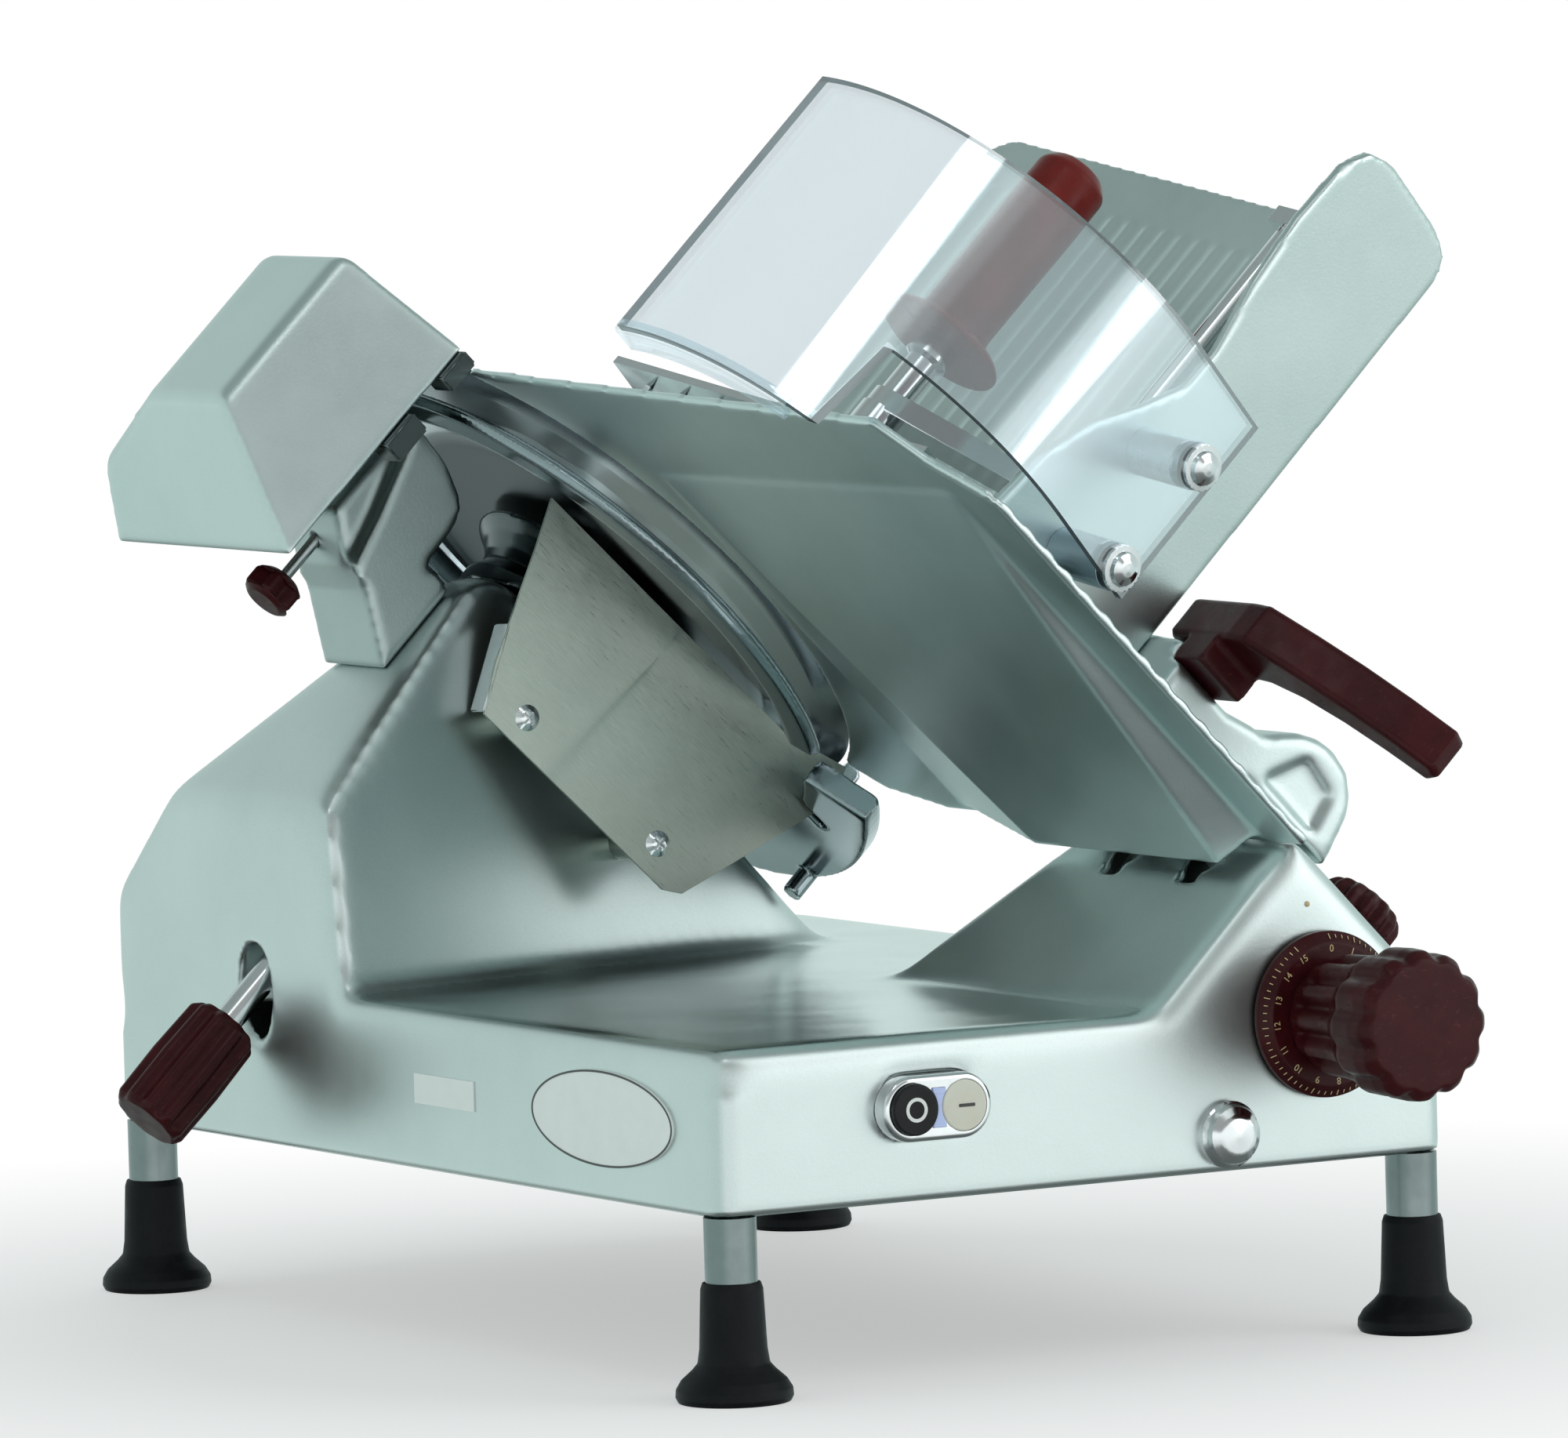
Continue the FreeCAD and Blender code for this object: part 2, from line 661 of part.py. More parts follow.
def sharpener_sleeve():
    sleeve = tube(13, SHARP_POST_R + RUNNING_GAP, (0, 0), 248.2, 300)
    collar = tube(18, SHARP_POST_R + RUNNING_GAP, (0, 0), 248.2, 256)
    return in_blade_frame(aimed(one_solid(sleeve.fuse(collar).removeSplitter()), (SHARP_Y, 0, SHARP_N), (0, 1, 0)))


def hood(inset):
    """Sharpener hood: (y, u) section along n, with a sloping rear end."""
    low = SHARP_FLOOR_U - (1 if inset else 0)
    top = 335 - inset
    section = [(377 + inset * 1.3, low), (409 + inset * 1.1, top), (482 - inset * 1.1, top), (549 - inset * 1.2, 304),
               (555 - inset, low)]
    body = prism(section, 2, 230, 387 - inset)
    rear = prism([(low - 1, 220), (low - 1, 250 + inset), (top + 2, 292 + inset * 1.4), (top + 2, 220)], 0, 300, 600)
    return body.cut(rear)


def sharpener_housing():
    shell = hood(0)
    shell = rounded(shell, 7, lambda edge: edge.BoundBox.YMin > 295)
    body = shell.cut(hood(3.5))
    boss = aimed(rod(20, (0, 0), 272, 326), (SHARP_Y, 0, SHARP_N), (0, 1, 0)).common(hood(0))
    bore = aimed(rod(13 + RUNNING_GAP, (0, 0), 200, 302), (SHARP_Y, 0, SHARP_N), (0, 1, 0))
    top_bore = aimed(rod(SHARP_POST_R + FREE_GAP, (0, 0), 290, 320), (SHARP_Y, 0, SHARP_N), (0, 1, 0))
    bosses = []
    holes = [bore, top_bore]
    for y, n, _ in STONES.values():
        bosses.append(aimed(rod(9, (0, 0), 290, 326), (y, 0, n), (0, 1, 0)).common(hood(0)))
        holes.append(aimed(rod(STONE_SPINDLE_R + RUNNING_GAP, (0, 0), 280, 309), (y, 0, n), (0, 1, 0)))
    return in_blade_frame(one_solid(body.fuse([boss] + bosses).cut(holes)))


def stone(name):
    """Abrasive cup on its own spindle, parked inside the hood behind the post."""
    y, n, radius = STONES[name]
    low = 271
    cup = turned([(0, low + 9), (radius - 6, low + 9), (radius - 4, low), (radius, low), (radius, low + 12),
                  (STONE_SPINDLE_R, low + 14), (STONE_SPINDLE_R, 308), (0, 308)])
    return in_blade_frame(aimed(cup, (y, 0, n), (0, 1, 0)))


def sharpener_knob():
    """Lobed clamp knob on a thin stud."""
    lobes = rod(9.5, (0, 0), 250, 266)
    for index in range(5):
        angle = 2 * math.pi * index / 5
        lobes = lobes.fuse(rod(4.6, (8.6 * math.cos(angle), 8.6 * math.sin(angle)), 250, 266))
    stud = rod(3, (0, 0), 265, 330)
    body = lobes.fuse(stud).removeSplitter()
    return in_blade_frame(moved(body, FreeCAD.Placement(V(KNOB_Y, KNOB_U, 0), FreeCAD.Rotation())))


# ---------------------------------------------------------------- gauge

def gauge_plate():
    """Food-side plate with a grooved face, a thick pad behind and a blade-shaped edge."""
    face_n = BLADE_N
    outline = [(GAUGE_FRONT, -47), (300, -47), (345, -36), (361, -21.5), (385, 256), (34, 235), (16, 210),
               (GAUGE_FRONT + 3, 188), (GAUGE_FRONT, 180)]
    plate = prism(outline, 2, face_n - GAUGE_THICK, face_n)
    back_n = face_n - GAUGE_THICK
    pad = prism([(-41.5, back_n - 20), (190, back_n - 0.5), (190, back_n + 1), (-41.5, back_n + 1)], 0, 18, 300)
    pad = pad.common(prism([(17, back_n + 1), (30, back_n - 21), (185, back_n - 21), (285, back_n + 1)], 1, -60, 200))
    body = plate.fuse(pad)
    body = body.cut(rod(GAUGE_ARC_R, (BLADE_Y, BLADE_U), 300, 400))
    grooves = []
    for index in range(16):
        u = -34 + 14.5 * index
        grooves.append(aimed(rod(9, (0, 0), -40, 420), (0, u, face_n + 7.6), (1, 0, 0)))
    return in_blade_frame(one_solid(body.cut(grooves).removeSplitter()))


def gauge_bracket():
    """Two stems through the ridge, tied to the gauge plate's pad."""
    body = box(50, 140, RIDGE_U - 17, RIDGE_U - 9, 345, 379)
    for y in GAUGE_ROD_YS:
        body = body.fuse(box(y - 6, y + 6, RIDGE_U - 10, -41.5, 371.5, 379.5))
    body = body.cut(box(40, 150, RIDGE_U - 20, RIDGE_U, 379.5, 390))
    return in_blade_frame(one_solid(body.removeSplitter()))


def gauge_slide():
    """Block on the two gauge rods, with an arm out to the cam roller's pin."""
    dial_u, dial_n = u_of(DIAL_X, DIAL_Z), n_of(DIAL_X, DIAL_Z)
    body = box(48, 142, GAUGE_ROD_U - 13, RIDGE_U - 17, 328, 360)
    arm = box(27, 48.5, dial_u - 7, GAUGE_ROD_U + 6, 350, 379)
    pin = aimed(rod(2.5, (0, 0), 12.5, 28), (0, dial_u, roller_n(dial_n)), (1, 0, 0))
    body = body.fuse([arm, pin])
    for y in GAUGE_ROD_YS:
        body = body.cut(rod(GAUGE_ROD_R + RUNNING_GAP, (y, GAUGE_ROD_U), 300, 390))
    return in_blade_frame(one_solid(body.removeSplitter()))


def roller_n(dial_n):
    return dial_n + CAM_MAX_R + ROLLER_R + FREE_GAP


def cam_roller():
    dial_u, dial_n = u_of(DIAL_X, DIAL_Z), n_of(DIAL_X, DIAL_Z)
    ring = tube(ROLLER_R, 2.5 + RUNNING_GAP, (0, 0), 14, 22)
    return in_blade_frame(aimed(ring, (0, dial_u, roller_n(dial_n)), (1, 0, 0)))


def gauge_rods():
    return [in_blade_frame(rod(GAUGE_ROD_R, (y, GAUGE_ROD_U), 241, RIDGE_N - WALL)) for y in GAUGE_ROD_YS]


def cam_radius(angle):
    """Spiral radius at an angle in degrees, with a short dwell at each end."""
    fall = min(max(-angle, 0.0), DIAL_TURN)
    return CAM_MAX_R - GAUGE_TRAVEL * fall / DIAL_TURN


def thickness_cam():
    """Spiral plate on the dial's shaft. Angle 0 faces the gauge's direction of travel."""
    points = []
    for step in range(6, -349, -3):
        turn = math.radians(step)
        radius = cam_radius(step)
        points.append((radius * math.sin(turn), radius * math.cos(turn)))
    dial_u, dial_n = u_of(DIAL_X, DIAL_Z), n_of(DIAL_X, DIAL_Z)
    outline = [(dial_u + across, dial_n + along) for across, along in points]
    plate = prism(outline, 0, 14.5, 21.5)
    bore = aimed(rod(6.02, (0, 0), 0, 40), (0, dial_u, dial_n), (1, 0, 0))
    return in_blade_frame(plate.cut(bore))


def dial_shaft():
    shaft = turned([(0, 24), (6, 24), (6, -30), (0, -30)])
    return aimed(shaft, (DIAL_X, 0, DIAL_Z), (0, 1, 0))


def dial_knob():
    """Scale flange and a long fluted grip."""
    flange = turned([(0, 1.5), (38.5, 1.5), (38.5, 4), (34, 9), (28, 12), (0, 12)])
    grip = fluted(33.5, 3.4, 12, (0, 0), 54, 88).fuse(fluted(28.5, 2.4, 12, (0, 0), 11, 57))
    body = flange.fuse(grip).cut(rod(6.02, (0, 0), -5, 30.2))
    return on_front(one_solid(body.removeSplitter()), DIAL_X, DIAL_Z)


# ---------------------------------------------------------------- carriage

def carriage_rod():
    return aimed(rod(SLIDE_R, (0, 0), 0.5, DEPTH - WALL), (SLIDE_X, 0, SLIDE_Z), (0, 1, 0))


def carriage_block():
    """Sleeve on the slide rod with a plate that leaves through the side slot."""
    body = box(SLIDE_X - 17, SLIDE_X + 17, 20, 110, 87.5, 116)
    body = body.fuse(box(SLIDE_X + 10, WIDTH + 1, 32, 98, 106, 116))
    bore = aimed(rod(SLIDE_R + RUNNING_GAP, (0, 0), 0, 200), (SLIDE_X, 0, SLIDE_Z), (0, 1, 0))
    return one_solid(body.cut(bore).removeSplitter())


def tray_underside():
    """Everything above the underside of the tray's floor."""
    return in_tray_frame(box(-200, 500, -SHEET, 300, 300, 700))


def carriage_arm():
    """Casting from the side slot, over the ridge's right slope and up to the tray."""
    foot = box(WIDTH + 1, WIDTH + 9, 32, 98, 101, 166)
    foot = foot.cut(in_blade_frame(box(0, 200, -400, 0, 300, RIDGE_N + 2.5)).common(box(0, WIDTH + 20, 0, 200, 150, 400)))
    saddle = in_blade_frame(box(32, 98, -162, -60, RIDGE_N + 2.5, RIDGE_N + 8))
    saddle = saddle.common(box(0, WIDTH + 9, 0, 200, 100, 400))
    outline = [(-92, 391.5), (-85, 416), (-83, 427), (-77, 436), (-68, 442), (-56, 445), (-45, 443), (-35, 437),
               (-22, 425), (0, 418), (70, 418), (70, 391.5)]
    arm = prism(outline, 0, 34, 80)
    arm = rounded(arm, 6, lambda edge: edge.BoundBox.XLength < 0.01 and edge.BoundBox.ZMax > 400)
    arm = arm.fuse(prism([(20, 400), (5, 416), (5, 431.5), (30, 431.5), (60, 420), (60, 400)], 0, 44, 80))
    arm = arm.cut(box(0, 58, -100, -25, 380, 401.5))
    pocket = prism([(-72, 408), (-68, 428), (-46, 432), (-34, 408)], 0, 30, 38)
    body = foot.fuse([saddle, in_blade_frame(arm.cut(pocket))]).cut(tray_underside())
    stud = in_blade_frame(rod(4.1, (LOCK_Y, LOCK_U), 385, 405))
    return one_solid(body.cut(stud).removeSplitter())


LOCK_Y = 54.0
LOCK_U = -127.0


def lock_knob():
    body = fluted(21, 1.8, 14, (LOCK_Y, LOCK_U), 398, 414).fuse(rod(4, (LOCK_Y, LOCK_U), 392, 400))
    return in_blade_frame(one_solid(body.removeSplitter()))


def tray_floor():
    """Ribbed floor: the ribs run with the food's fall towards the gauge."""
    floor = box(SHEET, TRAY_WIDTH, -SHEET, 0, TRAY_FOOT_N, TRAY_TOP_N)
    floor = rounded(floor, 24, lambda edge: edge.BoundBox.XMin > TRAY_WIDTH - 1 and edge.BoundBox.YLength > 5
                    and edge.BoundBox.ZLength < 1 and edge.BoundBox.ZMin > TRAY_TOP_N - 1)
    ribs = []
    for index in range(24):
        f = 22 + 12.5 * index
        ribs.append(aimed(rod(2.6, (0, 0), 0, TRAY_TOP_N - TRAY_FOOT_N - 34), (f, -1.2, TRAY_FOOT_N + 4), (0, 0, 1)))
    return in_tray_frame(one_solid(floor.fuse(ribs).removeSplitter()))


def wall_outline():
    return [(-SHEET, TRAY_FOOT_N), (-SHEET, 650), (0, 660), (12, TRAY_TOP_N + 2), (58, TRAY_TOP_N + 2), (74, 659),
            (82, 645), (84, 609), (80, 571), (72, 535), (73, 512), (86, 488), (103, 463), (114, 432),
            (118, TRAY_FOOT_N)]


def tray_wall():
    wall = prism(wall_outline(), 0, 0, SHEET)
    for n in STANDOFF_NS:
        wall = wall.cut(aimed(rod(4.1, (0, 0), -1, 8), (0, STANDOFF_W, n), (1, 0, 0)))
    return in_tray_frame(wall)


def guard_standoffs():
    sleeves = []
    for n in STANDOFF_NS:
        sleeve = aimed(tube(STANDOFF_R, 4.1, (0, 0), -STANDOFF_LENGTH, 0), (0, STANDOFF_W, n), (1, 0, 0))
        sleeves.append(in_tray_frame(sleeve))
    return sleeves


def guard_screws():
    screws = []
    face = -STANDOFF_LENGTH - GUARD_SHEET
    for n in STANDOFF_NS:
        screw = turned([(0, face - 6), (4, face - 5.6), (7.5, face - 4), (8.2, face - 2), (11, face - 1.8),
                        (11, face), (4, face), (4, SHEET + 5), (0, SHEET + 5)])
        screws.append(in_tray_frame(aimed(screw, (0, STANDOFF_W, n), (1, 0, 0))))
    return screws


def hand_guard():
    """Clear sheet: flat where it is screwed on, then bent over the tray, with a lip."""
    face = -STANDOFF_LENGTH - GUARD_SHEET
    bend_w = 113.0
    centre = (face + GUARD_R, bend_w)
    flat = box(face, face + GUARD_SHEET, 56, bend_w, 404, GUARD_HIGH_N)
    quarter = box(face - 5, centre[0] + 4, bend_w, bend_w + GUARD_R + 5, GUARD_LOW_N, GUARD_HIGH_N)
    arc = tube(GUARD_R, GUARD_R - GUARD_SHEET, centre, GUARD_LOW_N, GUARD_HIGH_N).common(quarter)
    lip_zone = box(face - 5, centre[0] + 4, bend_w, bend_w + GUARD_R + 5, GUARD_LOW_N, GUARD_LOW_N + GUARD_SHEET)
    lip = tube(GUARD_R - 1, GUARD_R - 13, centre, GUARD_LOW_N, GUARD_LOW_N + GUARD_SHEET).common(lip_zone)
    body = in_tray_frame(flat.fuse([arc, lip]).removeSplitter())
    body = body.cut(in_blade_frame(box(-200, 400, -100, 262, 300, 404)))
    holes = []
    for n in STANDOFF_NS:
        holes.append(in_tray_frame(aimed(rod(4.1, (0, 0), -80, 0), (0, STANDOFF_W, n), (1, 0, 0))))
    return one_solid(body.cut(holes))


def carriage_handle():
    """Bent, arched bar that the operator pushes. Its root also laps the arm's front."""
    outline = [(90, 38), (14, 37.5), (1, 36), (-18.6, 16.9), (-36.4, -2.6), (-52.6, -23.6), (-67, -46), (-63, -54),
               (-53, -56), (-39.5, -37.1), (-24.6, -19.5), (-7.5, -4.1), (9, 5), (21, 7), (42, 6), (62, 4), (90, 3)]
    body = prism(outline, 2, 432, 455)
    body = rounded(body, 3, lambda edge: edge.BoundBox.ZLength < 0.01)
    lap = box(20, 43.8, 7, 37.4, 418.3, 440)
    body = in_blade_frame(body.fuse(lap))
    return one_solid(body.cut(in_tray_frame(box(0, 400, -200, 300, 300, 700))).removeSplitter())


def pusher_rod():
    """Guide rod on the tray wall, held by a block at each end."""
    shaft = rod(PUSHER_ROD_R, (PUSHER_F, PUSHER_W), 396, 621)
    blocks = []
    for low in (396, 612):
        blocks.append(box(SHEET, PUSHER_F + 9, PUSHER_W - 9, PUSHER_W + 9, low, low + 9))
    return in_tray_frame(shaft.fuse(blocks).removeSplitter())


def pusher_collar():
    collar = tube(11, PUSHER_ROD_R + RUNNING_GAP, (PUSHER_F, PUSHER_W), 407, 432)
    return in_tray_frame(collar)


def pusher_arm():
    """Swinging arm, its hub on the guide rod, and the spiked plate under it."""
    body = bar((PUSHER_F, PUSHER_W), (STEM_F, STEM_W), 20, 432.2, 443)
    body = body.fuse(box(46, 270, 14, 132, 405, 409))
    body = body.fuse(rod(11, (STEM_F, STEM_W), 408, 434))
    spikes = []
    for row in range(4):
        for column in range(9):
            spot = V(62 + 24 * column, 28 + 30 * row, 406)
            spikes.append(Part.makeCone(2.4, 0.4, 8, spot, V(0, 0, -1)))
    body = body.fuse(spikes)
    body = body.cut(rod(PUSHER_ROD_R + RUNNING_GAP, (PUSHER_F, PUSHER_W), 400, 460))
    body = body.cut(rod(5.02, (STEM_F, STEM_W), 420, 450))
    return in_tray_frame(one_solid(body.removeSplitter()))


def pusher_stem():
    profile = [(0, 420), (5, 420), (5, 443), (8, 443), (8, 466), (11, 468), (11, 478), (6, 478), (6, 560), (0, 560)]
    return in_tray_frame(turned(profile, (STEM_F, STEM_W)))


def pusher_grip():
    """Hand grip with a hand-stop flange."""
    profile = [(6.02, 478), (32, 478), (32, 482), (26, 484), (19.5, 488), (18.5, 494), (18.5, 582), (16.5, 588),
               (10, 590), (0, 590), (0, 560.5), (6.02, 560.5)]
    return in_tray_frame(turned(profile, (STEM_F, STEM_W)))


# ---------------------------------------------------------------- electrics

def control_board():
    """Circuit board with its relay and run capacitor, on the bottom plate."""
    low = UNDERSIDE + 2
    board = box(60, 150, 40, 110, low, low + 3)
    board = board.fuse(box(68, 92, 48, 72, low + 3, low + 20))
    board = board.fuse(box(100, 140, 50, 100, low + 3, low + 9))
    return [board.removeSplitter(), box(60, 110, 130, 164, low, low + 32)]


def cable_gland():
    profile = [(4.2, 9), (12, 9), (12, 0), (11, -8), (8, -12), (4.2, -12)]
    gland = turned(profile).fuse(tube(8, 4.2, (0, 0), 8.9, 20)).removeSplitter()
    return aimed(one_solid(gland), (120, DEPTH + 9, 120), (0, -1, 0))


def power_cord():
    """Short cord from the gland, turned along the back wall to its plug."""
    exit_y, run_y = DEPTH - 18, DEPTH + 40
    bend = 16.0
    first = Part.LineSegment(V(120, exit_y, 120), V(120, run_y - bend, 120)).toShape()
    half = bend * math.sqrt(0.5)
    arc = Part.Arc(V(120, run_y - bend, 120), V(120 + bend - half, run_y - bend + half, 120),
                   V(120 + bend, run_y, 120)).toShape()
    last = Part.LineSegment(V(120 + bend, run_y, 120), V(262, run_y, 120)).toShape()
    path = Part.Wire([first, arc, last])
    section = Part.Wire(Part.Circle(V(120, exit_y, 120), V(0, 1, 0), 4.0).toShape())
    cord = path.makePipeShell([section], True, True)
    plug = box(260, 306, run_y - 20, run_y + 20, 103, 137)
    plug = rounded(plug, 8, lambda edge: edge.BoundBox.XLength > 40)
    pins = []
    for y, z in ((run_y - 11, 113), (run_y + 11, 113), (run_y, 129)):
        pins.append(box(305, 324, y - 3.2, y + 3.2, z - 2, z + 2))
    return one_solid(cord.fuse([plug] + pins))


def parts():
    """Every node by name, as a list of its separate solids."""
    return {
        "base_casting": [base_casting()],
        "bottom_plate": [bottom_plate()],
        "foot_posts": foot_posts(),
        "rubber_feet": rubber_feet(),
        "switch_bezel": [switch_bezel()],
        "pilot_lens": [pilot_lens()],
        "stop_button": [button(-1, 12)],
        "start_button": [button(1, 9.5)],
        "guide_rod_cap": [guide_rod_cap()],
        "name_plates": name_plates(),
        "electric_motor": [electric_motor()],
        "motor_pulley": [motor_pulley()],
        "drive_belt": [drive_belt()],
        "blade_pulley": [blade_pulley()],
        "blade_spindle": [blade_spindle()],
        "spindle_bearings": spindle_bearings(),
        "spindle_housing": [spindle_housing()],
        "blade": [blade()],
        "blade_screws": blade_screws(),
        "blade_cover": [blade_cover()],
        "tie_rod": [tie_rod()],
        "tie_rod_knob": [tie_rod_knob()],
        "ring_guard": [ring_guard()],
        "slice_deflector": [slice_deflector()],
        "deflector_posts": deflector_posts(),
        "deflector_screws": deflector_screws(),
        "sharpener_bracket": [sharpener_bracket()],
        "sharpener_post": [sharpener_post()],
        "sharpener_sleeve": [sharpener_sleeve()],
        "sharpener_housing": [sharpener_housing()],
        "grinding_stone": [stone("grinding_stone")],
        "honing_stone": [stone("honing_stone")],
        "sharpener_knob": [sharpener_knob()],
        "gauge_plate": [gauge_plate()],
        "gauge_bracket": [gauge_bracket()],
        "gauge_slide": [gauge_slide()],
        "cam_roller": [cam_roller()],
        "gauge_rods": gauge_rods(),
        "thickness_cam": [thickness_cam()],
        "dial_shaft": [dial_shaft()],
        "dial_knob": [dial_knob()],
        "carriage_rod": [carriage_rod()],
        "carriage_block": [carriage_block()],
        "carriage_arm": [carriage_arm()],
        "lock_knob": [lock_knob()],
        "tray_floor": [tray_floor()],
        "tray_wall": [tray_wall()],
        "guard_standoffs": guard_standoffs(),
        "guard_screws": guard_screws(),
        "hand_guard": [hand_guard()],
        "carriage_handle": [carriage_handle()],
        "pusher_rod": [pusher_rod()],
        "pusher_collar": [pusher_collar()],
        "pusher_arm": [pusher_arm()],
        "pusher_stem": [pusher_stem()],
        "pusher_grip": [pusher_grip()],
        "control_board": control_board(),
        "cable_gland": [cable_gland()],
        "power_cord": [power_cord()],
    }


def main():
    os.makedirs("parts", exist_ok=True)
    shift = FreeCAD.Placement(V(-MIDDLE_X, -MIDDLE_Y, 0), FreeCAD.Rotation())
    for name, solids in parts().items():
        shape = solids[0] if len(solids) == 1 else Part.makeCompound(solids)
        moved(shape, shift).exportStep("parts/" + name + ".step")


main()
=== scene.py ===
import json
import math
import bmesh
import bpy
import numpy as np
from mathutils import Matrix, Vector
from mathutils.bvhtree import BVHTree
from mathutils.kdtree import KDTree


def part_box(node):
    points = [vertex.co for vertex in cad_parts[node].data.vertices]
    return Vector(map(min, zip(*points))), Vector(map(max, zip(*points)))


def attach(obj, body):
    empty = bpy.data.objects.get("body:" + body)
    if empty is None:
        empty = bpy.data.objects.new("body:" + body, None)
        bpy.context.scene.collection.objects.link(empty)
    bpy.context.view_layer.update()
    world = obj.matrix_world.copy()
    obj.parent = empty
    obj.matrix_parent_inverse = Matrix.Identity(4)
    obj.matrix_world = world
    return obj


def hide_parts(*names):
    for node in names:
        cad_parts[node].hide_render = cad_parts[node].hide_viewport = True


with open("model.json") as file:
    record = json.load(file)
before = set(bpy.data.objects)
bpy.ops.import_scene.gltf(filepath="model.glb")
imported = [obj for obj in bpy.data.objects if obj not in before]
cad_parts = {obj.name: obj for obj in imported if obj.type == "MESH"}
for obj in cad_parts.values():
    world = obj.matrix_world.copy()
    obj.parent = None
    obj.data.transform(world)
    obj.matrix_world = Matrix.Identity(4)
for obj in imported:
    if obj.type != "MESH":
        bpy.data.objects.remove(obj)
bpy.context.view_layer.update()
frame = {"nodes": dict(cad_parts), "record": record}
nodes = frame["nodes"]
record = frame["record"]
body_of = {node: body for body, members in record["behaviour"]["bodies"].items() for node in members}
slot_of = {part["node"]: part["material_slot"] for part in record["subparts"]}

# Lengths are in millimetres and angles in radians.
MM = 0.001
WELD_GAP = 0.002
EDGE_STEP = 2.0
LEAN = math.radians(45.85)
TRAY_TILT = math.radians(14.0)

# Places in the blade's plane, as (y, u).
TRAY_CORNER = (58.5, 48.75)
BLADE_CENTRE = (440.0, 113.0)
LOCK_KNOB = (54.0, -127.0)
CLAMP_KNOB = (449.0, 234.0)
CLAMP_STEM_FOOT = 267.2
DEFLECTOR_CORNER = (366.0, 13.0)
DEFLECTOR_TURN = math.radians(-4.8)

# Place of the pusher's stem in the tray, as (f, w).
PUSHER_STEM = (120.7, 105.7)

# Places on the front face, as (x, z).
DIAL = (323.1, 152.6)
DIAL_MARKS = 16
DIAL_STEP = math.radians(22.0)
STOP_BUTTON = (97.0, 126.5)
START_BUTTON = (125.0, 126.5)
INDEX_DOT = (316.5, 203.6)

# Oval badge on the left face: its centre as (y, z), and its half axes.
BADGE = (103.2, 121.4)
BADGE_HALF = (64.5, 22.0)

# Places of the feet, as (x, y).
FOOT_SPOTS = ((12, 12), (378, 12), (378, 575), (12, 575))

# The photograph's camera, as fitted to the machine's edges.
CAMERA_SPOT = (-2560.1, -4438.7, 678.6)
CAMERA_TURN = math.radians(30.367)
CAMERA_DIP = math.radians(4.144)
CAMERA_ROLL = math.radians(-1.642)
CAMERA_LENS = 264.83

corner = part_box("base_casting")[0]
CORNER = Vector((corner.x, corner.y, 0))
ACROSS = Vector((0, 1, 0))
UP_BLADE = Vector((-math.cos(LEAN), 0, math.sin(LEAN)))
OUT_BLADE = Vector((math.sin(LEAN), 0, math.cos(LEAN)))


# ---------------------------------------------------------------- frames

def body_frame(x=0, y=0, z=0, turn=None):
    """Matrix that takes millimetres at a point of the base to metres in the row frame."""
    place = Matrix.Translation(CORNER + Vector((x, y, z)) * MM)
    return place @ (turn or Matrix.Identity(4)) @ Matrix.Scale(MM, 4)


def blade_frame(y=0, u=0, n=0, turn=0.0):
    """Millimetres of (y, u, n) about a point of the blade frame, turned about n."""
    axes = Matrix((ACROSS, UP_BLADE, OUT_BLADE)).transposed().to_4x4()
    shift = Matrix.Translation(Vector((y, u, n)))
    return Matrix.Translation(CORNER) @ Matrix.Scale(MM, 4) @ axes @ shift @ Matrix.Rotation(turn, 4, "Z")


def tray_frame(f=0, w=0, n=0):
    """Millimetres of the tray frame: f along the floor, w up the wall, n along the blade's axis."""
    return blade_frame(*TRAY_CORNER, 0, TRAY_TILT) @ Matrix.Translation(Vector((f, w, n)))


def front_frame(x, z, y=0):
    """Local +Z faces the operator, local +X runs to the right, local +Y is up."""
    return body_frame(x, y, z, Matrix.Rotation(math.pi / 2, 4, "X"))


# ---------------------------------------------------------------- node trees

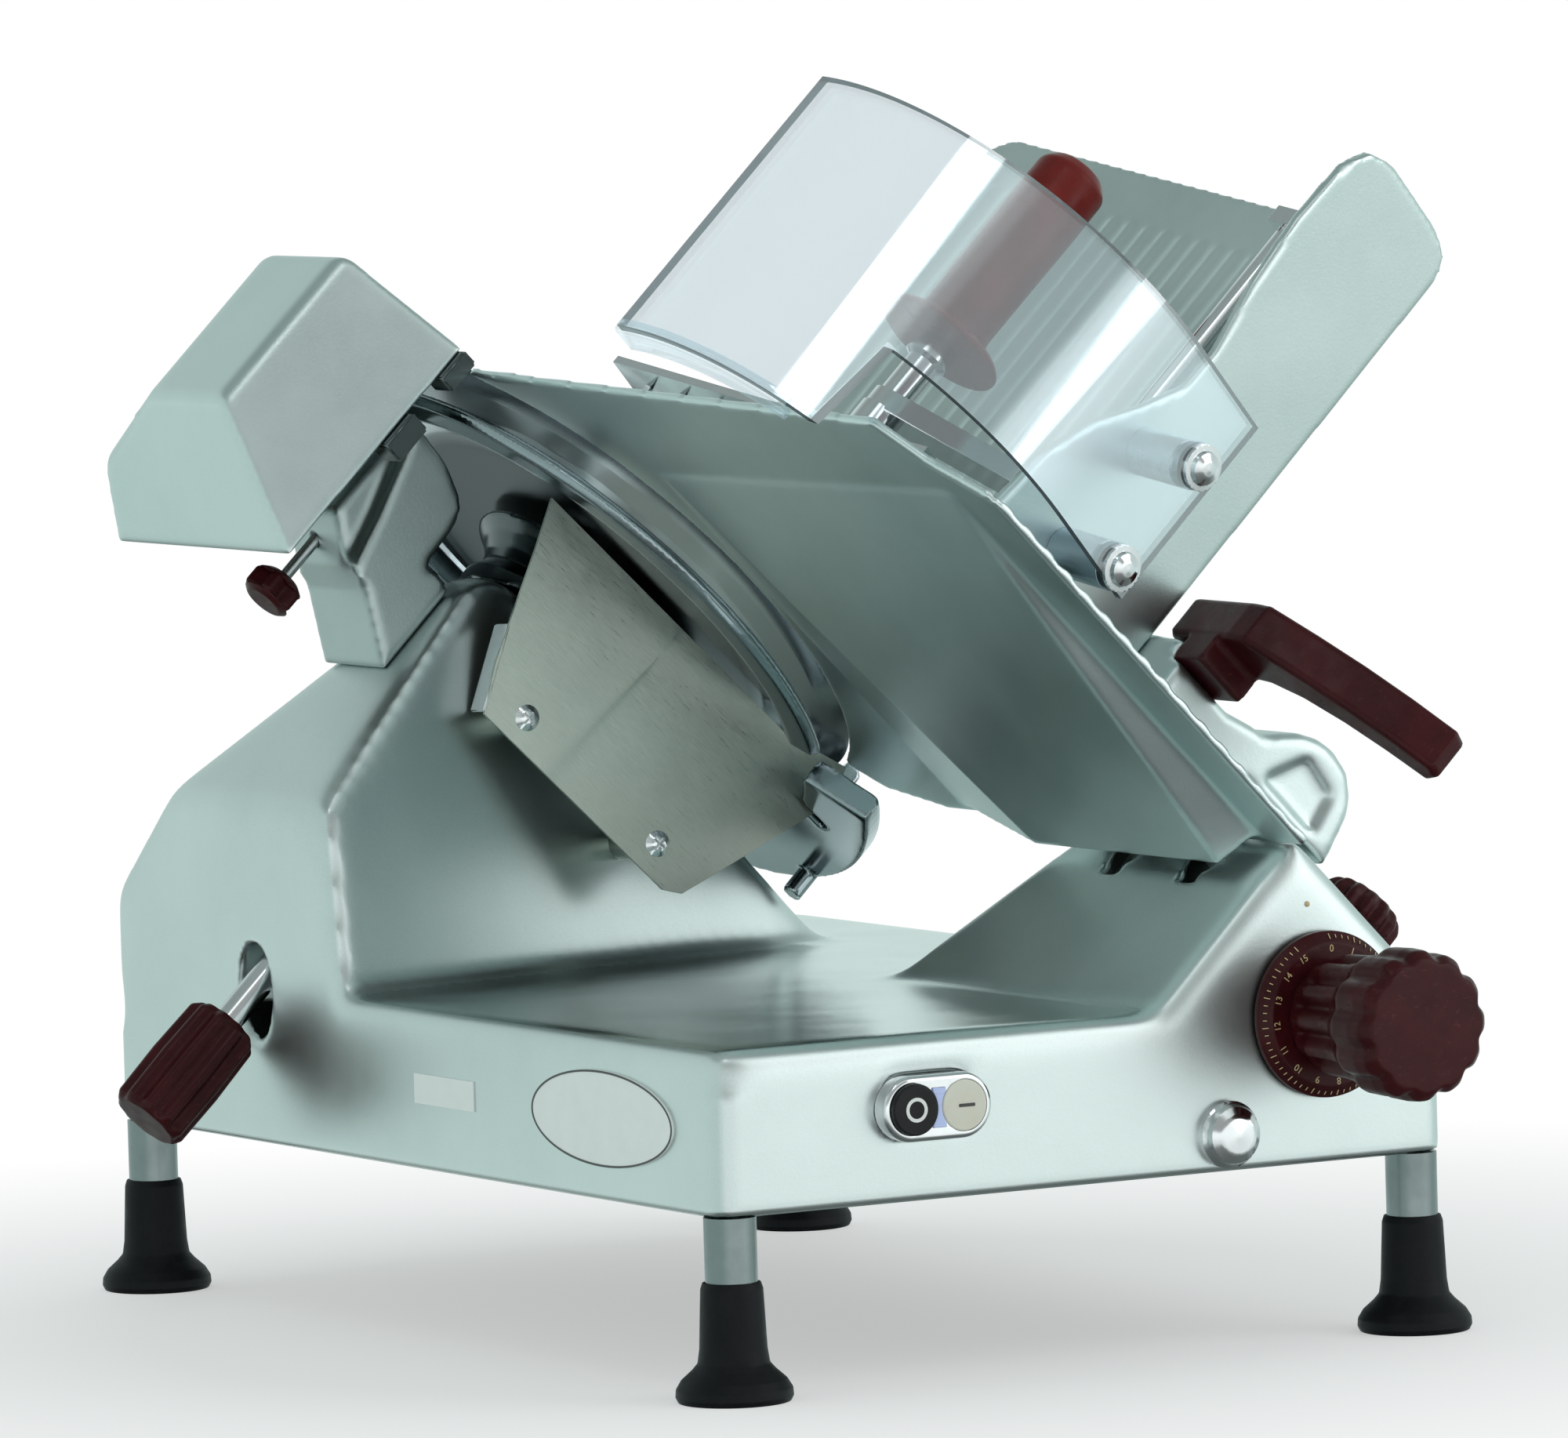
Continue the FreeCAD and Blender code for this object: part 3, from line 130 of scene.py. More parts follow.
class Tree:
    """Short helper for building a material's nodes."""

    def __init__(self, name):
        self.material = bpy.data.materials.new(name)
        self.material.use_nodes = True
        self.nodes = self.material.node_tree.nodes
        self.links = self.material.node_tree.links
        self.shader = self.nodes["Principled BSDF"]
        self.output = self.nodes["Material Output"]
        self.place = self.add("ShaderNodeTexCoord").outputs["Object"]

    def add(self, kind, **values):
        node = self.nodes.new(kind)
        for name, value in values.items():
            setattr(node, name, value)
        return node

    def feed(self, socket, value):
        if isinstance(value, bpy.types.NodeSocket):
            self.links.new(value, socket)
        else:
            socket.default_value = value

    def noise(self, scale, detail=2.0, rough=0.5, vector=None, distortion=0.0):
        node = self.add("ShaderNodeTexNoise")
        self.feed(node.inputs["Vector"], vector or self.place)
        node.inputs["Scale"].default_value = scale
        node.inputs["Detail"].default_value = detail
        node.inputs["Roughness"].default_value = rough
        node.inputs["Distortion"].default_value = distortion
        return node.outputs["Fac"]

    def math(self, operation, first, second=0.0):
        node = self.add("ShaderNodeMath", operation=operation)
        self.feed(node.inputs[0], first)
        self.feed(node.inputs[1], second)
        return node.outputs[0]

    def span(self, value, low, high, from_low=0.0, from_high=1.0):
        node = self.add("ShaderNodeMapRange")
        self.feed(node.inputs["Value"], value)
        node.inputs["From Min"].default_value = from_low
        node.inputs["From Max"].default_value = from_high
        node.inputs["To Min"].default_value = low
        node.inputs["To Max"].default_value = high
        return node.outputs["Result"]

    def mix(self, factor, first, second):
        node = self.add("ShaderNodeMix", data_type="RGBA")
        self.feed(node.inputs[0], factor)
        self.feed(node.inputs[6], first)
        self.feed(node.inputs[7], second)
        return node.outputs[2]

    def along(self, axis, scale=1.0):
        """Distance along an axis of the object's own space."""
        node = self.add("ShaderNodeVectorMath", operation="DOT_PRODUCT")
        self.feed(node.inputs[0], self.place)
        node.inputs[1].default_value = Vector(axis) * scale
        return node.outputs["Value"]

    def vector(self, x, y, z):
        node = self.add("ShaderNodeCombineXYZ")
        for socket, value in zip(node.inputs, (x, y, z)):
            self.feed(socket, value)
        return node.outputs[0]

    def bump(self, height, strength, distance, normal=None):
        node = self.add("ShaderNodeBump")
        node.inputs["Strength"].default_value = strength
        node.inputs["Distance"].default_value = distance
        self.feed(node.inputs["Height"], height)
        if normal:
            self.feed(node.inputs["Normal"], normal)
        return node.outputs["Normal"]

    def edge_wear(self, low=0.53, high=0.62):
        """1 on outside edges, 0 on flats."""
        pointy = self.add("ShaderNodeNewGeometry").outputs["Pointiness"]
        return self.span(pointy, 0.0, 1.0, low, high)

    def set(self, **values):
        names = {"base": "Base Color", "rough": "Roughness", "metal": "Metallic", "normal": "Normal",
                 "coat": "Coat Weight", "spread": "Anisotropic", "gleam": "Specular IOR Level",
                 "glow": "Emission Color", "glow_power": "Emission Strength"}
        for name, value in values.items():
            self.feed(self.shader.inputs[names[name]], value)
        return self.material


def rgb(red, green, blue):
    return (red, green, blue, 1.0)


# ---------------------------------------------------------------- materials

def cast_metal(name, light, dark, rough=(0.30, 0.42), grain=0.16, ripple=0.0):
    """Satin tumbled casting: fine sparkle, cloudy tone, smoother and brighter on its edges."""
    tree = Tree(name)
    cloud = tree.noise(9.0, 4.0, 0.6)
    fine = tree.noise(1900.0, 2.0, 0.7)
    pits = tree.noise(620.0, 3.0, 0.6)
    tone = tree.mix(tree.span(cloud, 0.0, 1.0, 0.3, 0.7), dark, light)
    speck = tree.mix(tree.span(fine, 0.0, 0.5, 0.35, 0.75), tone, light)
    wear = tree.edge_wear()
    base = tree.mix(tree.math("MULTIPLY", wear, 0.55), speck, rgb(0.86, 0.89, 0.88))
    polish = tree.math("MULTIPLY", wear, -0.12)
    roughness = tree.math("ADD", tree.span(cloud, rough[0], rough[1], 0.25, 0.75), polish)
    normal = tree.bump(fine, grain, 0.00025)
    normal = tree.bump(pits, grain * 0.8, 0.0004, normal)
    if ripple:
        normal = tree.bump(tree.noise(26.0, 1.5, 0.4, distortion=0.4), ripple, 0.004, normal)
    return tree.set(base=base, rough=roughness, metal=1.0, normal=normal)


def base_metal():
    """The casting, with its level top polished by wiping."""
    tree = Tree("base_cast_metal")
    cloud = tree.noise(8.0, 4.0, 0.6)
    fine = tree.noise(1900.0, 2.0, 0.7)
    pits = tree.noise(560.0, 3.0, 0.6)
    facing = tree.add("ShaderNodeSeparateXYZ")
    tree.feed(facing.inputs[0], tree.add("ShaderNodeNewGeometry").outputs["True Normal"])
    level = tree.span(facing.outputs[2], 0.0, 1.0, 0.93, 0.999)
    tone = tree.mix(tree.span(cloud, 0.0, 1.0, 0.3, 0.7), rgb(0.52, 0.59, 0.58), rgb(0.63, 0.70, 0.69))
    speck = tree.mix(tree.span(fine, 0.0, 0.5, 0.35, 0.75), tone, rgb(0.74, 0.79, 0.78))
    wear = tree.edge_wear(0.52, 0.60)
    base = tree.mix(tree.math("MULTIPLY", wear, 0.6), speck, rgb(0.88, 0.91, 0.90))
    satin = tree.math("ADD", tree.span(cloud, 0.30, 0.40, 0.25, 0.75), tree.math("MULTIPLY", wear, -0.12))
    shine = tree.span(tree.noise(14.0, 2.0), 0.07, 0.15, 0.3, 0.7)
    roughness = tree.add("ShaderNodeMix", data_type="FLOAT")
    tree.feed(roughness.inputs[0], level)
    tree.feed(roughness.inputs[2], satin)
    tree.feed(roughness.inputs[3], shine)
    normal = tree.bump(fine, 0.12, 0.00022)
    normal = tree.bump(pits, 0.10, 0.0004, normal)
    normal = tree.bump(tree.noise(17.0, 1.0, 0.4, distortion=0.3), 0.10, 0.004, normal)
    return tree.set(base=base, rough=roughness.outputs[0], metal=1.0, normal=normal)


def brushed_steel(name="brushed_steel", along=UP_BLADE, tint=(0.46, 0.50, 0.45)):
    """Sheet steel with fine grain lines along one direction and faint smears."""
    tree = Tree(name)
    side = ACROSS.cross(along).normalized()
    lines = tree.vector(tree.along(ACROSS, 1500.0), tree.along(along, 22.0), tree.along(side, 1500.0))
    grain = tree.noise(1.0, 3.0, 0.7, lines)
    smear = tree.noise(22.0, 3.0, 0.6)
    light = rgb(*[min(1.0, c * 1.28) for c in tint])
    tone = tree.mix(tree.span(grain, 0.0, 1.0, 0.3, 0.7), rgb(*tint), light)
    tone = tree.mix(tree.span(smear, 0.0, 0.35, 0.35, 0.7), tone, rgb(*[c * 0.8 for c in tint]))
    low_end = blade_frame(0, -40, 0).translation.dot(UP_BLADE)
    shade = tree.span(tree.along(UP_BLADE), 0.75, 0.0, low_end, low_end + 0.13)
    tone = tree.mix(shade, tone, rgb(*[c * 0.35 for c in tint]))
    rough = tree.span(grain, 0.26, 0.46, 0.3, 0.7)
    normal = tree.bump(grain, 0.18, 0.0002)
    return tree.set(base=tone, rough=rough, metal=1.0, normal=normal, spread=0.5)


def bright_steel(name="bright_steel", tint=(0.72, 0.73, 0.74), rough=(0.08, 0.2)):
    """Turned and polished steel with faint tool marks and haze."""
    tree = Tree(name)
    haze = tree.noise(60.0, 4.0, 0.6)
    marks = tree.noise(2400.0, 2.0, 0.6)
    tone = tree.mix(tree.span(haze, 0.0, 0.35, 0.4, 0.7), rgb(*tint), rgb(*[c * 0.78 for c in tint]))
    roughness = tree.span(haze, rough[0], rough[1], 0.3, 0.7)
    return tree.set(base=tone, rough=roughness, metal=1.0, normal=tree.bump(marks, 0.05, 0.0001))


def ground_steel():
    """Blade steel: rings left by the grinding wheel about the blade's axis, and a painted dark reflection
    on its middle inside the ground rim.
    """
    tree = Tree("ground_blade_steel")
    hub = blade_frame(*BLADE_CENTRE, 0).translation
    across = tree.math("SUBTRACT", tree.along(ACROSS), ACROSS.dot(hub))
    up = tree.math("SUBTRACT", tree.along(UP_BLADE), UP_BLADE.dot(hub))
    square = tree.math("ADD", tree.math("MULTIPLY", across, across), tree.math("MULTIPLY", up, up))
    radius = tree.math("SQRT", square)
    rings = tree.noise(1.0, 4.0, 0.7, tree.vector(tree.math("MULTIPLY", radius, 1400.0), 0.0, 0.0))
    # Painted dark reflection: the blade's middle gets near-black steel, standing in for the dark underside
    # it reflects; only the ground rim keeps bright steel.
    rim = tree.span(radius, 0.0, 1.0, 0.100, 0.118)
    centre = tree.mix(tree.span(rings, 0.0, 1.0, 0.3, 0.7), rgb(0.13, 0.15, 0.158), rgb(0.18, 0.20, 0.21))
    ground = tree.mix(tree.span(rings, 0.0, 1.0, 0.3, 0.7), rgb(0.62, 0.64, 0.68), rgb(0.78, 0.80, 0.84))
    tone = tree.mix(rim, centre, ground)
    rough = tree.span(rings, 0.14, 0.26, 0.3, 0.7)
    return tree.set(base=tone, rough=rough, metal=1.0, normal=tree.bump(rings, 0.12, 0.0002), spread=0.4)


def moulded_plastic(name, dark, light, rough=(0.26, 0.40), worn=(0.30, 0.10, 0.10), gleam=0.16):
    """Hard moulded plastic: orange-peel skin, cloudy tone, rubbed edges."""
    tree = Tree(name)
    cloud = tree.noise(45.0, 4.0, 0.6)
    peel = tree.noise(520.0, 2.0, 0.5)
    strokes = tree.vector(tree.along((1, 0, 0)), tree.along((0, 1, 0), 6.0), tree.along((0, 0, 1), 2.0))
    scuffs = tree.noise(230.0, 5.0, 0.75, strokes)
    tone = tree.mix(tree.span(cloud, 0.0, 1.0, 0.3, 0.7), rgb(*dark), rgb(*light))
    tone = tree.mix(tree.span(scuffs, 0.0, 0.16, 0.58, 0.7), tone, rgb(*worn))
    tone = tree.mix(tree.math("MULTIPLY", tree.edge_wear(0.53, 0.66), 0.35), tone, rgb(*worn))
    roughness = tree.span(tree.noise(120.0, 3.0), rough[0], rough[1], 0.3, 0.7)
    return tree.set(base=tone, rough=roughness, normal=tree.bump(peel, 0.10, 0.0003), gleam=gleam)


def rubber():
    tree = Tree("black_rubber")
    dust = tree.noise(70.0, 5.0, 0.7)
    skin = tree.noise(900.0, 3.0, 0.6)
    dusty = tree.span(dust, 0.0, 0.5, 0.45, 0.8)
    tone = tree.mix(dusty, rgb(0.006, 0.0065, 0.008), rgb(0.022, 0.023, 0.025))
    rough = tree.span(dust, 0.42, 0.62, 0.3, 0.7)
    return tree.set(base=tone, rough=rough, normal=tree.bump(skin, 0.25, 0.0003), gleam=0.15)


def clear_sheet(name, tint, shine, milk):
    """Clear acrylic: tinted see-through body, a mirror-like skin and a faint milky haze."""
    tree = Tree(name)
    haze = tree.noise(30.0, 4.0, 0.65)
    facing = tree.add("ShaderNodeLayerWeight")
    facing.inputs["Blend"].default_value = 0.25
    tree.set(base=rgb(0.74, 0.78, 0.82), rough=0.5, gleam=0.2)
    clear = tree.add("ShaderNodeBsdfTransparent")
    clear.inputs["Color"].default_value = tint
    skin = tree.add("ShaderNodeBsdfGlossy")
    tree.feed(skin.inputs["Color"], rgb(2.2, 2.3, 2.35))
    tree.feed(skin.inputs["Roughness"], tree.span(haze, 0.02, 0.07, 0.3, 0.7))
    body = tree.add("ShaderNodeMixShader")
    tree.feed(body.inputs[0], tree.span(haze, milk, milk * 1.6, 0.3, 0.7))
    tree.feed(body.inputs[1], clear.outputs[0])
    tree.feed(body.inputs[2], tree.shader.outputs[0])
    whole = tree.add("ShaderNodeMixShader")
    tree.feed(whole.inputs[0], tree.span(facing.outputs["Facing"], shine, min(1.0, shine * 2.2)))
    tree.feed(whole.inputs[1], body.outputs[0])
    tree.feed(whole.inputs[2], skin.outputs[0])
    tree.feed(tree.output.inputs["Surface"], whole.outputs[0])
    return tree.material


def lens_plastic():
    tree = Tree("pilot_lens_plastic")
    ribs = tree.noise(1.0, 1.0, 0.5, tree.vector(0.0, 0.0, tree.along((0, 0, 1), 900.0)))
    tone = tree.mix(ribs, rgb(0.33, 0.40, 0.72), rgb(0.55, 0.62, 0.86))
    return tree.set(base=tone, rough=0.16, normal=tree.bump(ribs, 0.2, 0.0003), coat=0.4,
                    glow=rgb(0.4, 0.48, 0.85), glow_power=0.15)


def enamel(name, light, dark, rough=0.25):
    """Painted or printed plate with slight unevenness."""
    tree = Tree(name)
    cloud = tree.noise(80.0, 4.0, 0.6)
    tone = tree.mix(tree.span(cloud, 0.0, 1.0, 0.3, 0.7), rgb(*dark), rgb(*light))
    return tree.set(base=tone, rough=tree.span(cloud, rough, rough + 0.1), coat=0.3,
                    normal=tree.bump(tree.noise(700.0), 0.06, 0.0002))


def abrasive():
    tree = Tree("bonded_abrasive")
    grit = tree.noise(1500.0, 4.0, 0.8)
    tone = tree.mix(tree.span(grit, 0.0, 1.0, 0.35, 0.65), rgb(0.20, 0.17, 0.15), rgb(0.52, 0.47, 0.42))
    return tree.set(base=tone, rough=0.9, normal=tree.bump(grit, 0.7, 0.0006))


def circuit():
    tree = Tree("circuit_board")
    tracks = tree.add("ShaderNodeTexBrick")
    tree.feed(tracks.inputs["Vector"], tree.place)
    tracks.inputs["Scale"].default_value = 90.0
    tracks.inputs["Color1"].default_value = rgb(0.01, 0.10, 0.04)
    tracks.inputs["Color2"].default_value = rgb(0.015, 0.14, 0.06)
    tracks.inputs["Mortar"].default_value = rgb(0.30, 0.24, 0.08)
    relief = tree.bump(tracks.outputs["Fac"], 0.3, 0.0003)
    return tree.set(base=tracks.outputs["Color"], rough=0.4, normal=relief)


LIGHT_CAST = rgb(0.65, 0.73, 0.72)
DARK_CAST = rgb(0.51, 0.60, 0.59)
RED = ((0.034, 0.0035, 0.005), (0.058, 0.006, 0.008))

finish = {
    "casting": cast_metal("satin_cast_metal", LIGHT_CAST, DARK_CAST),
    "base": base_metal(),
    "shaded_casting": cast_metal("shaded_cast_metal", rgb(0.46, 0.53, 0.52), rgb(0.34, 0.40, 0.39)),
    "gauge": cast_metal("gauge_cast_metal", rgb(0.68, 0.78, 0.78), rgb(0.54, 0.64, 0.64),
                        (0.26, 0.38), 0.2),
    "polished": cast_metal("polished_cast_metal", rgb(0.33, 0.38, 0.40), rgb(0.24, 0.28, 0.30),
                           (0.10, 0.2), 0.05, 0.05),
    "neck": cast_metal("dark_cast_metal", rgb(0.10, 0.115, 0.12), rgb(0.05, 0.058, 0.062),
                       (0.14, 0.24), 0.1),
    "stainless": brushed_steel(),
    "blade_steel": ground_steel(),
    "bright_steel": bright_steel(),
    "sleeve": bright_steel("matt_steel_sleeve", (0.42, 0.50, 0.56), (0.25, 0.35)),
    "post_steel": bright_steel("plated_post_steel", (0.22, 0.26, 0.26), (0.25, 0.35)),
    "jaw_steel": bright_steel("dark_jaw_steel", (0.14, 0.16, 0.16), (0.12, 0.25)),
    "rubber": rubber(),
    "red_plastic": moulded_plastic("dark_red_plastic", *RED),
    "black_button": moulded_plastic("black_button_plastic", (0.010, 0.010, 0.011), (0.02, 0.02, 0.022),
                                    worn=(0.05, 0.05, 0.05)),
    "pale_button": moulded_plastic("pale_button_plastic", (0.70, 0.68, 0.58), (0.78, 0.76, 0.68),
                                   worn=(0.8, 0.79, 0.72)),
    "lens": lens_plastic(),
    "clear_plastic": clear_sheet("clear_guard_sheet", rgb(0.82, 0.85, 0.87), 0.10, 0.02),
    "clear_edge": clear_sheet("clear_guard_edge", rgb(0.05, 0.055, 0.065), 0.03, 0.06),
    "plate_white": enamel("blank_white_plate", (0.97, 0.98, 0.97), (0.93, 0.94, 0.93)),
    "motor_shell": enamel("grey_motor_paint", (0.10, 0.11, 0.12), (0.06, 0.07, 0.075), 0.4),
    "grip_plastic": moulded_plastic("see_through_red_plastic", (0.13, 0.011, 0.010), (0.20, 0.021, 0.017),
                                    worn=(0.36, 0.09, 0.07)),
    "board": circuit(),
    "abrasive": abrasive(),
    "nylon": enamel("natural_nylon", (0.80, 0.78, 0.70), (0.72, 0.70, 0.62), 0.4),
    "print": enamel("scale_print", (0.72, 0.55, 0.30), (0.60, 0.44, 0.22), 0.5),
    "white_print": enamel("white_print", (0.85, 0.85, 0.83), (0.8, 0.8, 0.78), 0.4),
    "black_print": enamel("black_print", (0.02, 0.02, 0.02), (0.03, 0.03, 0.03), 0.4),
}


# ---------------------------------------------------------------- mesh helpers

def piece(name, mesh, node, material, replace=True, sharp=None):
    """Link a finished mesh, put it on its node's body and give it its material."""
    obj = bpy.data.objects.new(name, mesh)
    bpy.context.scene.collection.objects.link(obj)
    for item in material if isinstance(material, (list, tuple)) else [material]:
        mesh.materials.append(item)
    mesh.shade_smooth()
    if sharp:
        mesh.set_sharp_from_angle(angle=math.radians(sharp))
    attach(obj, body_of[node])
    if replace:
        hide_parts(node)
    return obj


def mesh_from(name, points, faces, place=None, indexes=None):
    mesh = bpy.data.meshes.new(name)
    mesh.from_pydata([tuple(point) for point in points], [], faces)
    if indexes:
        mesh.polygons.foreach_set("material_index", indexes)
    if place:
        mesh.transform(place)
        if place.determinant() < 0:
            mesh.flip_normals()
    mesh.update()
    return mesh


def face_outwards(mesh):
    """Turn every face of a closed mesh outwards."""
    shell = bmesh.new()
    shell.from_mesh(mesh)
    bmesh.ops.recalc_face_normals(shell, faces=shell.faces)
    shell.to_mesh(mesh)
    shell.free()


def round_corners(points, radii, steps=5):
    """Replace each corner of a closed outline with an arc, one radius for each point."""
    result = []
    count = len(points)
    for index, point in enumerate(points):
        size = radii[index]
        if size <= 0:
            result.append(tuple(point))
            continue
        here = Vector(point).to_2d()
        before = Vector(points[index - 1]).to_2d() - here
        after = Vector(points[(index + 1) % count]).to_2d() - here
        half = before.angle(after) / 2
        trim = min(size / math.tan(half), before.length * 0.49, after.length * 0.49)
        start, end = here + before.normalized() * trim, here + after.normalized() * trim
        for step in range(steps + 1):
            t = step / steps
            spot = start * (1 - t) ** 2 + here * 2 * t * (1 - t) + end * t ** 2
            result.append((spot.x, spot.y))
    return result


def lathe(name, profile, place, sides=96, radial=None):
    """Turn an outline of (radius, height) about local Z. radial changes a radius by angle and height."""
    rows = len(profile)
    points = []
    for side in range(sides):
        angle = 2 * math.pi * side / sides
        for radius, height in profile:
            reach = radial(radius, height, angle) if radial else radius
            points.append((reach * math.cos(angle), reach * math.sin(angle), height))
    faces = []
    for side in range(sides):
        here, there = side * rows, (side + 1) % sides * rows
        for row in range(rows):
            below = (row + 1) % rows
            faces.append((here + row, there + row, there + below, here + below))
    mesh = mesh_from(name, points, faces, place)
    clean = bmesh.new()
    clean.from_mesh(mesh)
    bmesh.ops.remove_doubles(clean, verts=clean.verts, dist=1e-7)
    bmesh.ops.dissolve_degenerate(clean, edges=clean.edges, dist=1e-7)
    bmesh.ops.recalc_face_normals(clean, faces=clean.faces)
    clean.to_mesh(mesh)
    clean.free()
    return mesh


def bar(name, size, place, bevel, segments=2):
    """Rectangular bar with rounded edges, centred on its frame."""
    block = bmesh.new()
    bmesh.ops.create_cube(block, size=1.0)
    bmesh.ops.scale(block, vec=size, verts=block.verts)
    bmesh.ops.bevel(block, geom=block.edges[:], offset=bevel, segments=segments, affect="EDGES")
    mesh = bpy.data.meshes.new(name)
    block.to_mesh(mesh)
    block.free()
    mesh.transform(place)
    return mesh


def long_edges(source, shortest, sharpest):
    """Points along a CAD mesh's long sharp edges, and its surface for nearest-point searches."""
    welded = bmesh.new()
    welded.from_mesh(source)
    bmesh.ops.remove_doubles(welded, verts=welded.verts, dist=WELD_GAP * MM)
    spots = []
    for edge in welded.edges:
        length = edge.calc_length()
        if length < shortest * MM or len(edge.link_faces) != 2:
            continue
        if edge.calc_face_angle(0.0) < math.radians(sharpest):
            continue
        steps = max(1, int(length / (EDGE_STEP * MM)))
        first, last = edge.verts[0].co, edge.verts[1].co
        spots += [first.lerp(last, step / steps) for step in range(steps + 1)]
    surface = BVHTree.FromBMesh(welded)
    welded.free()
    return spots, surface


def voxel_copy(name, node, voxel):
    """Even quad copy of a CAD node's surface."""
    source = bpy.data.objects.new(name, nodes[node].data.copy())
    bpy.context.scene.collection.objects.link(source)
    weld = source.modifiers.new("weld", "WELD")
    weld.merge_threshold = WELD_GAP * MM
    grid = source.modifiers.new("grid", "REMESH")
    grid.mode = "VOXEL"
    grid.voxel_size = voxel * MM
    bpy.context.view_layer.update()
    mesh = bpy.data.meshes.new_from_object(source.evaluated_get(bpy.context.evaluated_depsgraph_get()))
    bpy.data.objects.remove(source)
    mesh.materials.clear()
    return mesh


def relax(points, edges, weights, passes):
    """Slide each point towards the middle of its neighbours, by its own weight."""
    count = np.bincount(edges.ravel(), minlength=len(points)).astype(float)
    for _ in range(passes):
        total = np.zeros_like(points)
        for axis in range(3):
            total[:, axis] = (np.bincount(edges[:, 0], points[edges[:, 1], axis], len(points))
                              + np.bincount(edges[:, 1], points[edges[:, 0], axis], len(points)))
        points += (total / count[:, None] - points) * weights[:, None]
    return points


def softened(name, node, material, voxel, reach, passes, light=3, shortest=18.0, sharpest=20.0, keep=None):
    """Copy of a cast part with its long edges melted into soft fillets and its flats kept true.

    reach is how far a fillet spreads from an edge, and light is the number of passes over everything.
    Edges shorter than shortest or flatter than sharpest degrees don't melt, nor do those that keep picks.
    """
    mesh = voxel_copy(name, node, voxel)
    spots, surface = long_edges(nodes[node].data, shortest, sharpest)
    spots = [spot for spot in spots if not (keep and keep(spot))]
    tree = KDTree(max(1, len(spots)))
    for index, spot in enumerate(spots):
        tree.insert(spot, index)
    tree.balance()
    size = len(mesh.vertices)
    points = np.zeros(size * 3)
    mesh.vertices.foreach_get("co", points)
    points = points.reshape(-1, 3)
    edges = np.zeros(len(mesh.edges) * 2, np.int64)
    mesh.edges.foreach_get("vertices", edges)
    edges = edges.reshape(-1, 2)
    gaps = np.array([tree.find(point)[2] if spots else 1.0 for point in points]) / MM
    # Fully soft up to 0.4 of the reach from an edge, fading to none at 1.4 of it.
    soft = np.clip(1.4 - gaps / reach, 0.0, 1.0)
    points = relax(points, edges, np.full(size, 0.5), light)
    flat = soft < 0.02
    for index in np.nonzero(flat)[0]:
        nearest = surface.find_nearest(points[index])[0]
        points[index] = points[index] * 0.3 + np.array(nearest) * 0.7
    points = relax(points, edges, np.minimum(soft, 0.5), passes)
    mesh.vertices.foreach_set("co", points.ravel())
    mesh.update()
    return piece(name, mesh, node, material)


# ---------------------------------------------------------------- castings

def base_edges_to_keep(spot):
    """The bottom rim and the slot in the right wall stay crisp."""
    local = (spot - CORNER) / MM
    in_slot = local.x > 375 and 96 < local.z < 126
    inside = 4.5 < local.x < 385.5 and 4.5 < local.y < 582.5 and local.z < 155
    return local.z < 92 or in_slot or inside


def castings():
    """The cast parts and the handle."""
    softened("base_casting_shell", "base_casting", finish["base"], voxel=2.6,
             reach=16.0, passes=36, shortest=40.0, keep=base_edges_to_keep)
    softened("gauge_plate_cast", "gauge_plate", finish["gauge"], voxel=1.4,
             reach=3.0, passes=5, shortest=12.0, sharpest=14.0)
    softened("sharpener_hood", "sharpener_housing", finish["casting"], voxel=1.4,
             reach=5.0, passes=16)
    softened("ring_guard_cast", "ring_guard", finish["polished"], voxel=1.2,
             reach=3.0, passes=6, light=4)
    softened("arm_casting", "carriage_arm", finish["casting"], voxel=1.3,
             reach=6.0, passes=14, light=4, shortest=8.0)
    softened("bracket_casting", "sharpener_bracket", finish["shaded_casting"], voxel=1.6,
             reach=4.0, passes=10)
    softened("blade_neck", "spindle_housing", finish["neck"], voxel=1.2, reach=3.0, passes=8, light=4)
    softened("tray_wall_cast", "tray_wall", finish["casting"], voxel=1.4,
             reach=3.5, passes=8)
    softened("tray_floor_cast", "tray_floor", finish["casting"], voxel=1.5,
             reach=2.5, passes=4, light=2)
    softened("bent_handle", "carriage_handle", finish["red_plastic"], voxel=1.0, reach=2.5, passes=5)


# ---------------------------------------------------------------- knobs and feet

def flute(count, depth, low, high, blend=6.0, power=1.4, turn=0.0):
    """Grooves between two heights that fade out at both ends."""
    def radial(radius, height, angle):
        fade = min(max((height - low) / blend, 0.0), 1.0) * min(max((high - height) / blend, 0.0), 1.0)
        wave = (0.5 - 0.5 * math.cos(count * (angle + turn))) ** power
        return radius - depth * fade * wave if radius > 3 * depth else radius
    return radial


def dense(profile, longest):
    """Split an outline's long stretches so that flutes have points to bend."""
    result = []
    for index, point in enumerate(profile):
        following = profile[(index + 1) % len(profile)]
        gap = math.dist(point, following)
        steps = max(1, int(gap / longest))
        for step in range(steps):
            t = step / steps
            result.append(tuple(a + (b - a) * t for a, b in zip(point, following)))
    return result


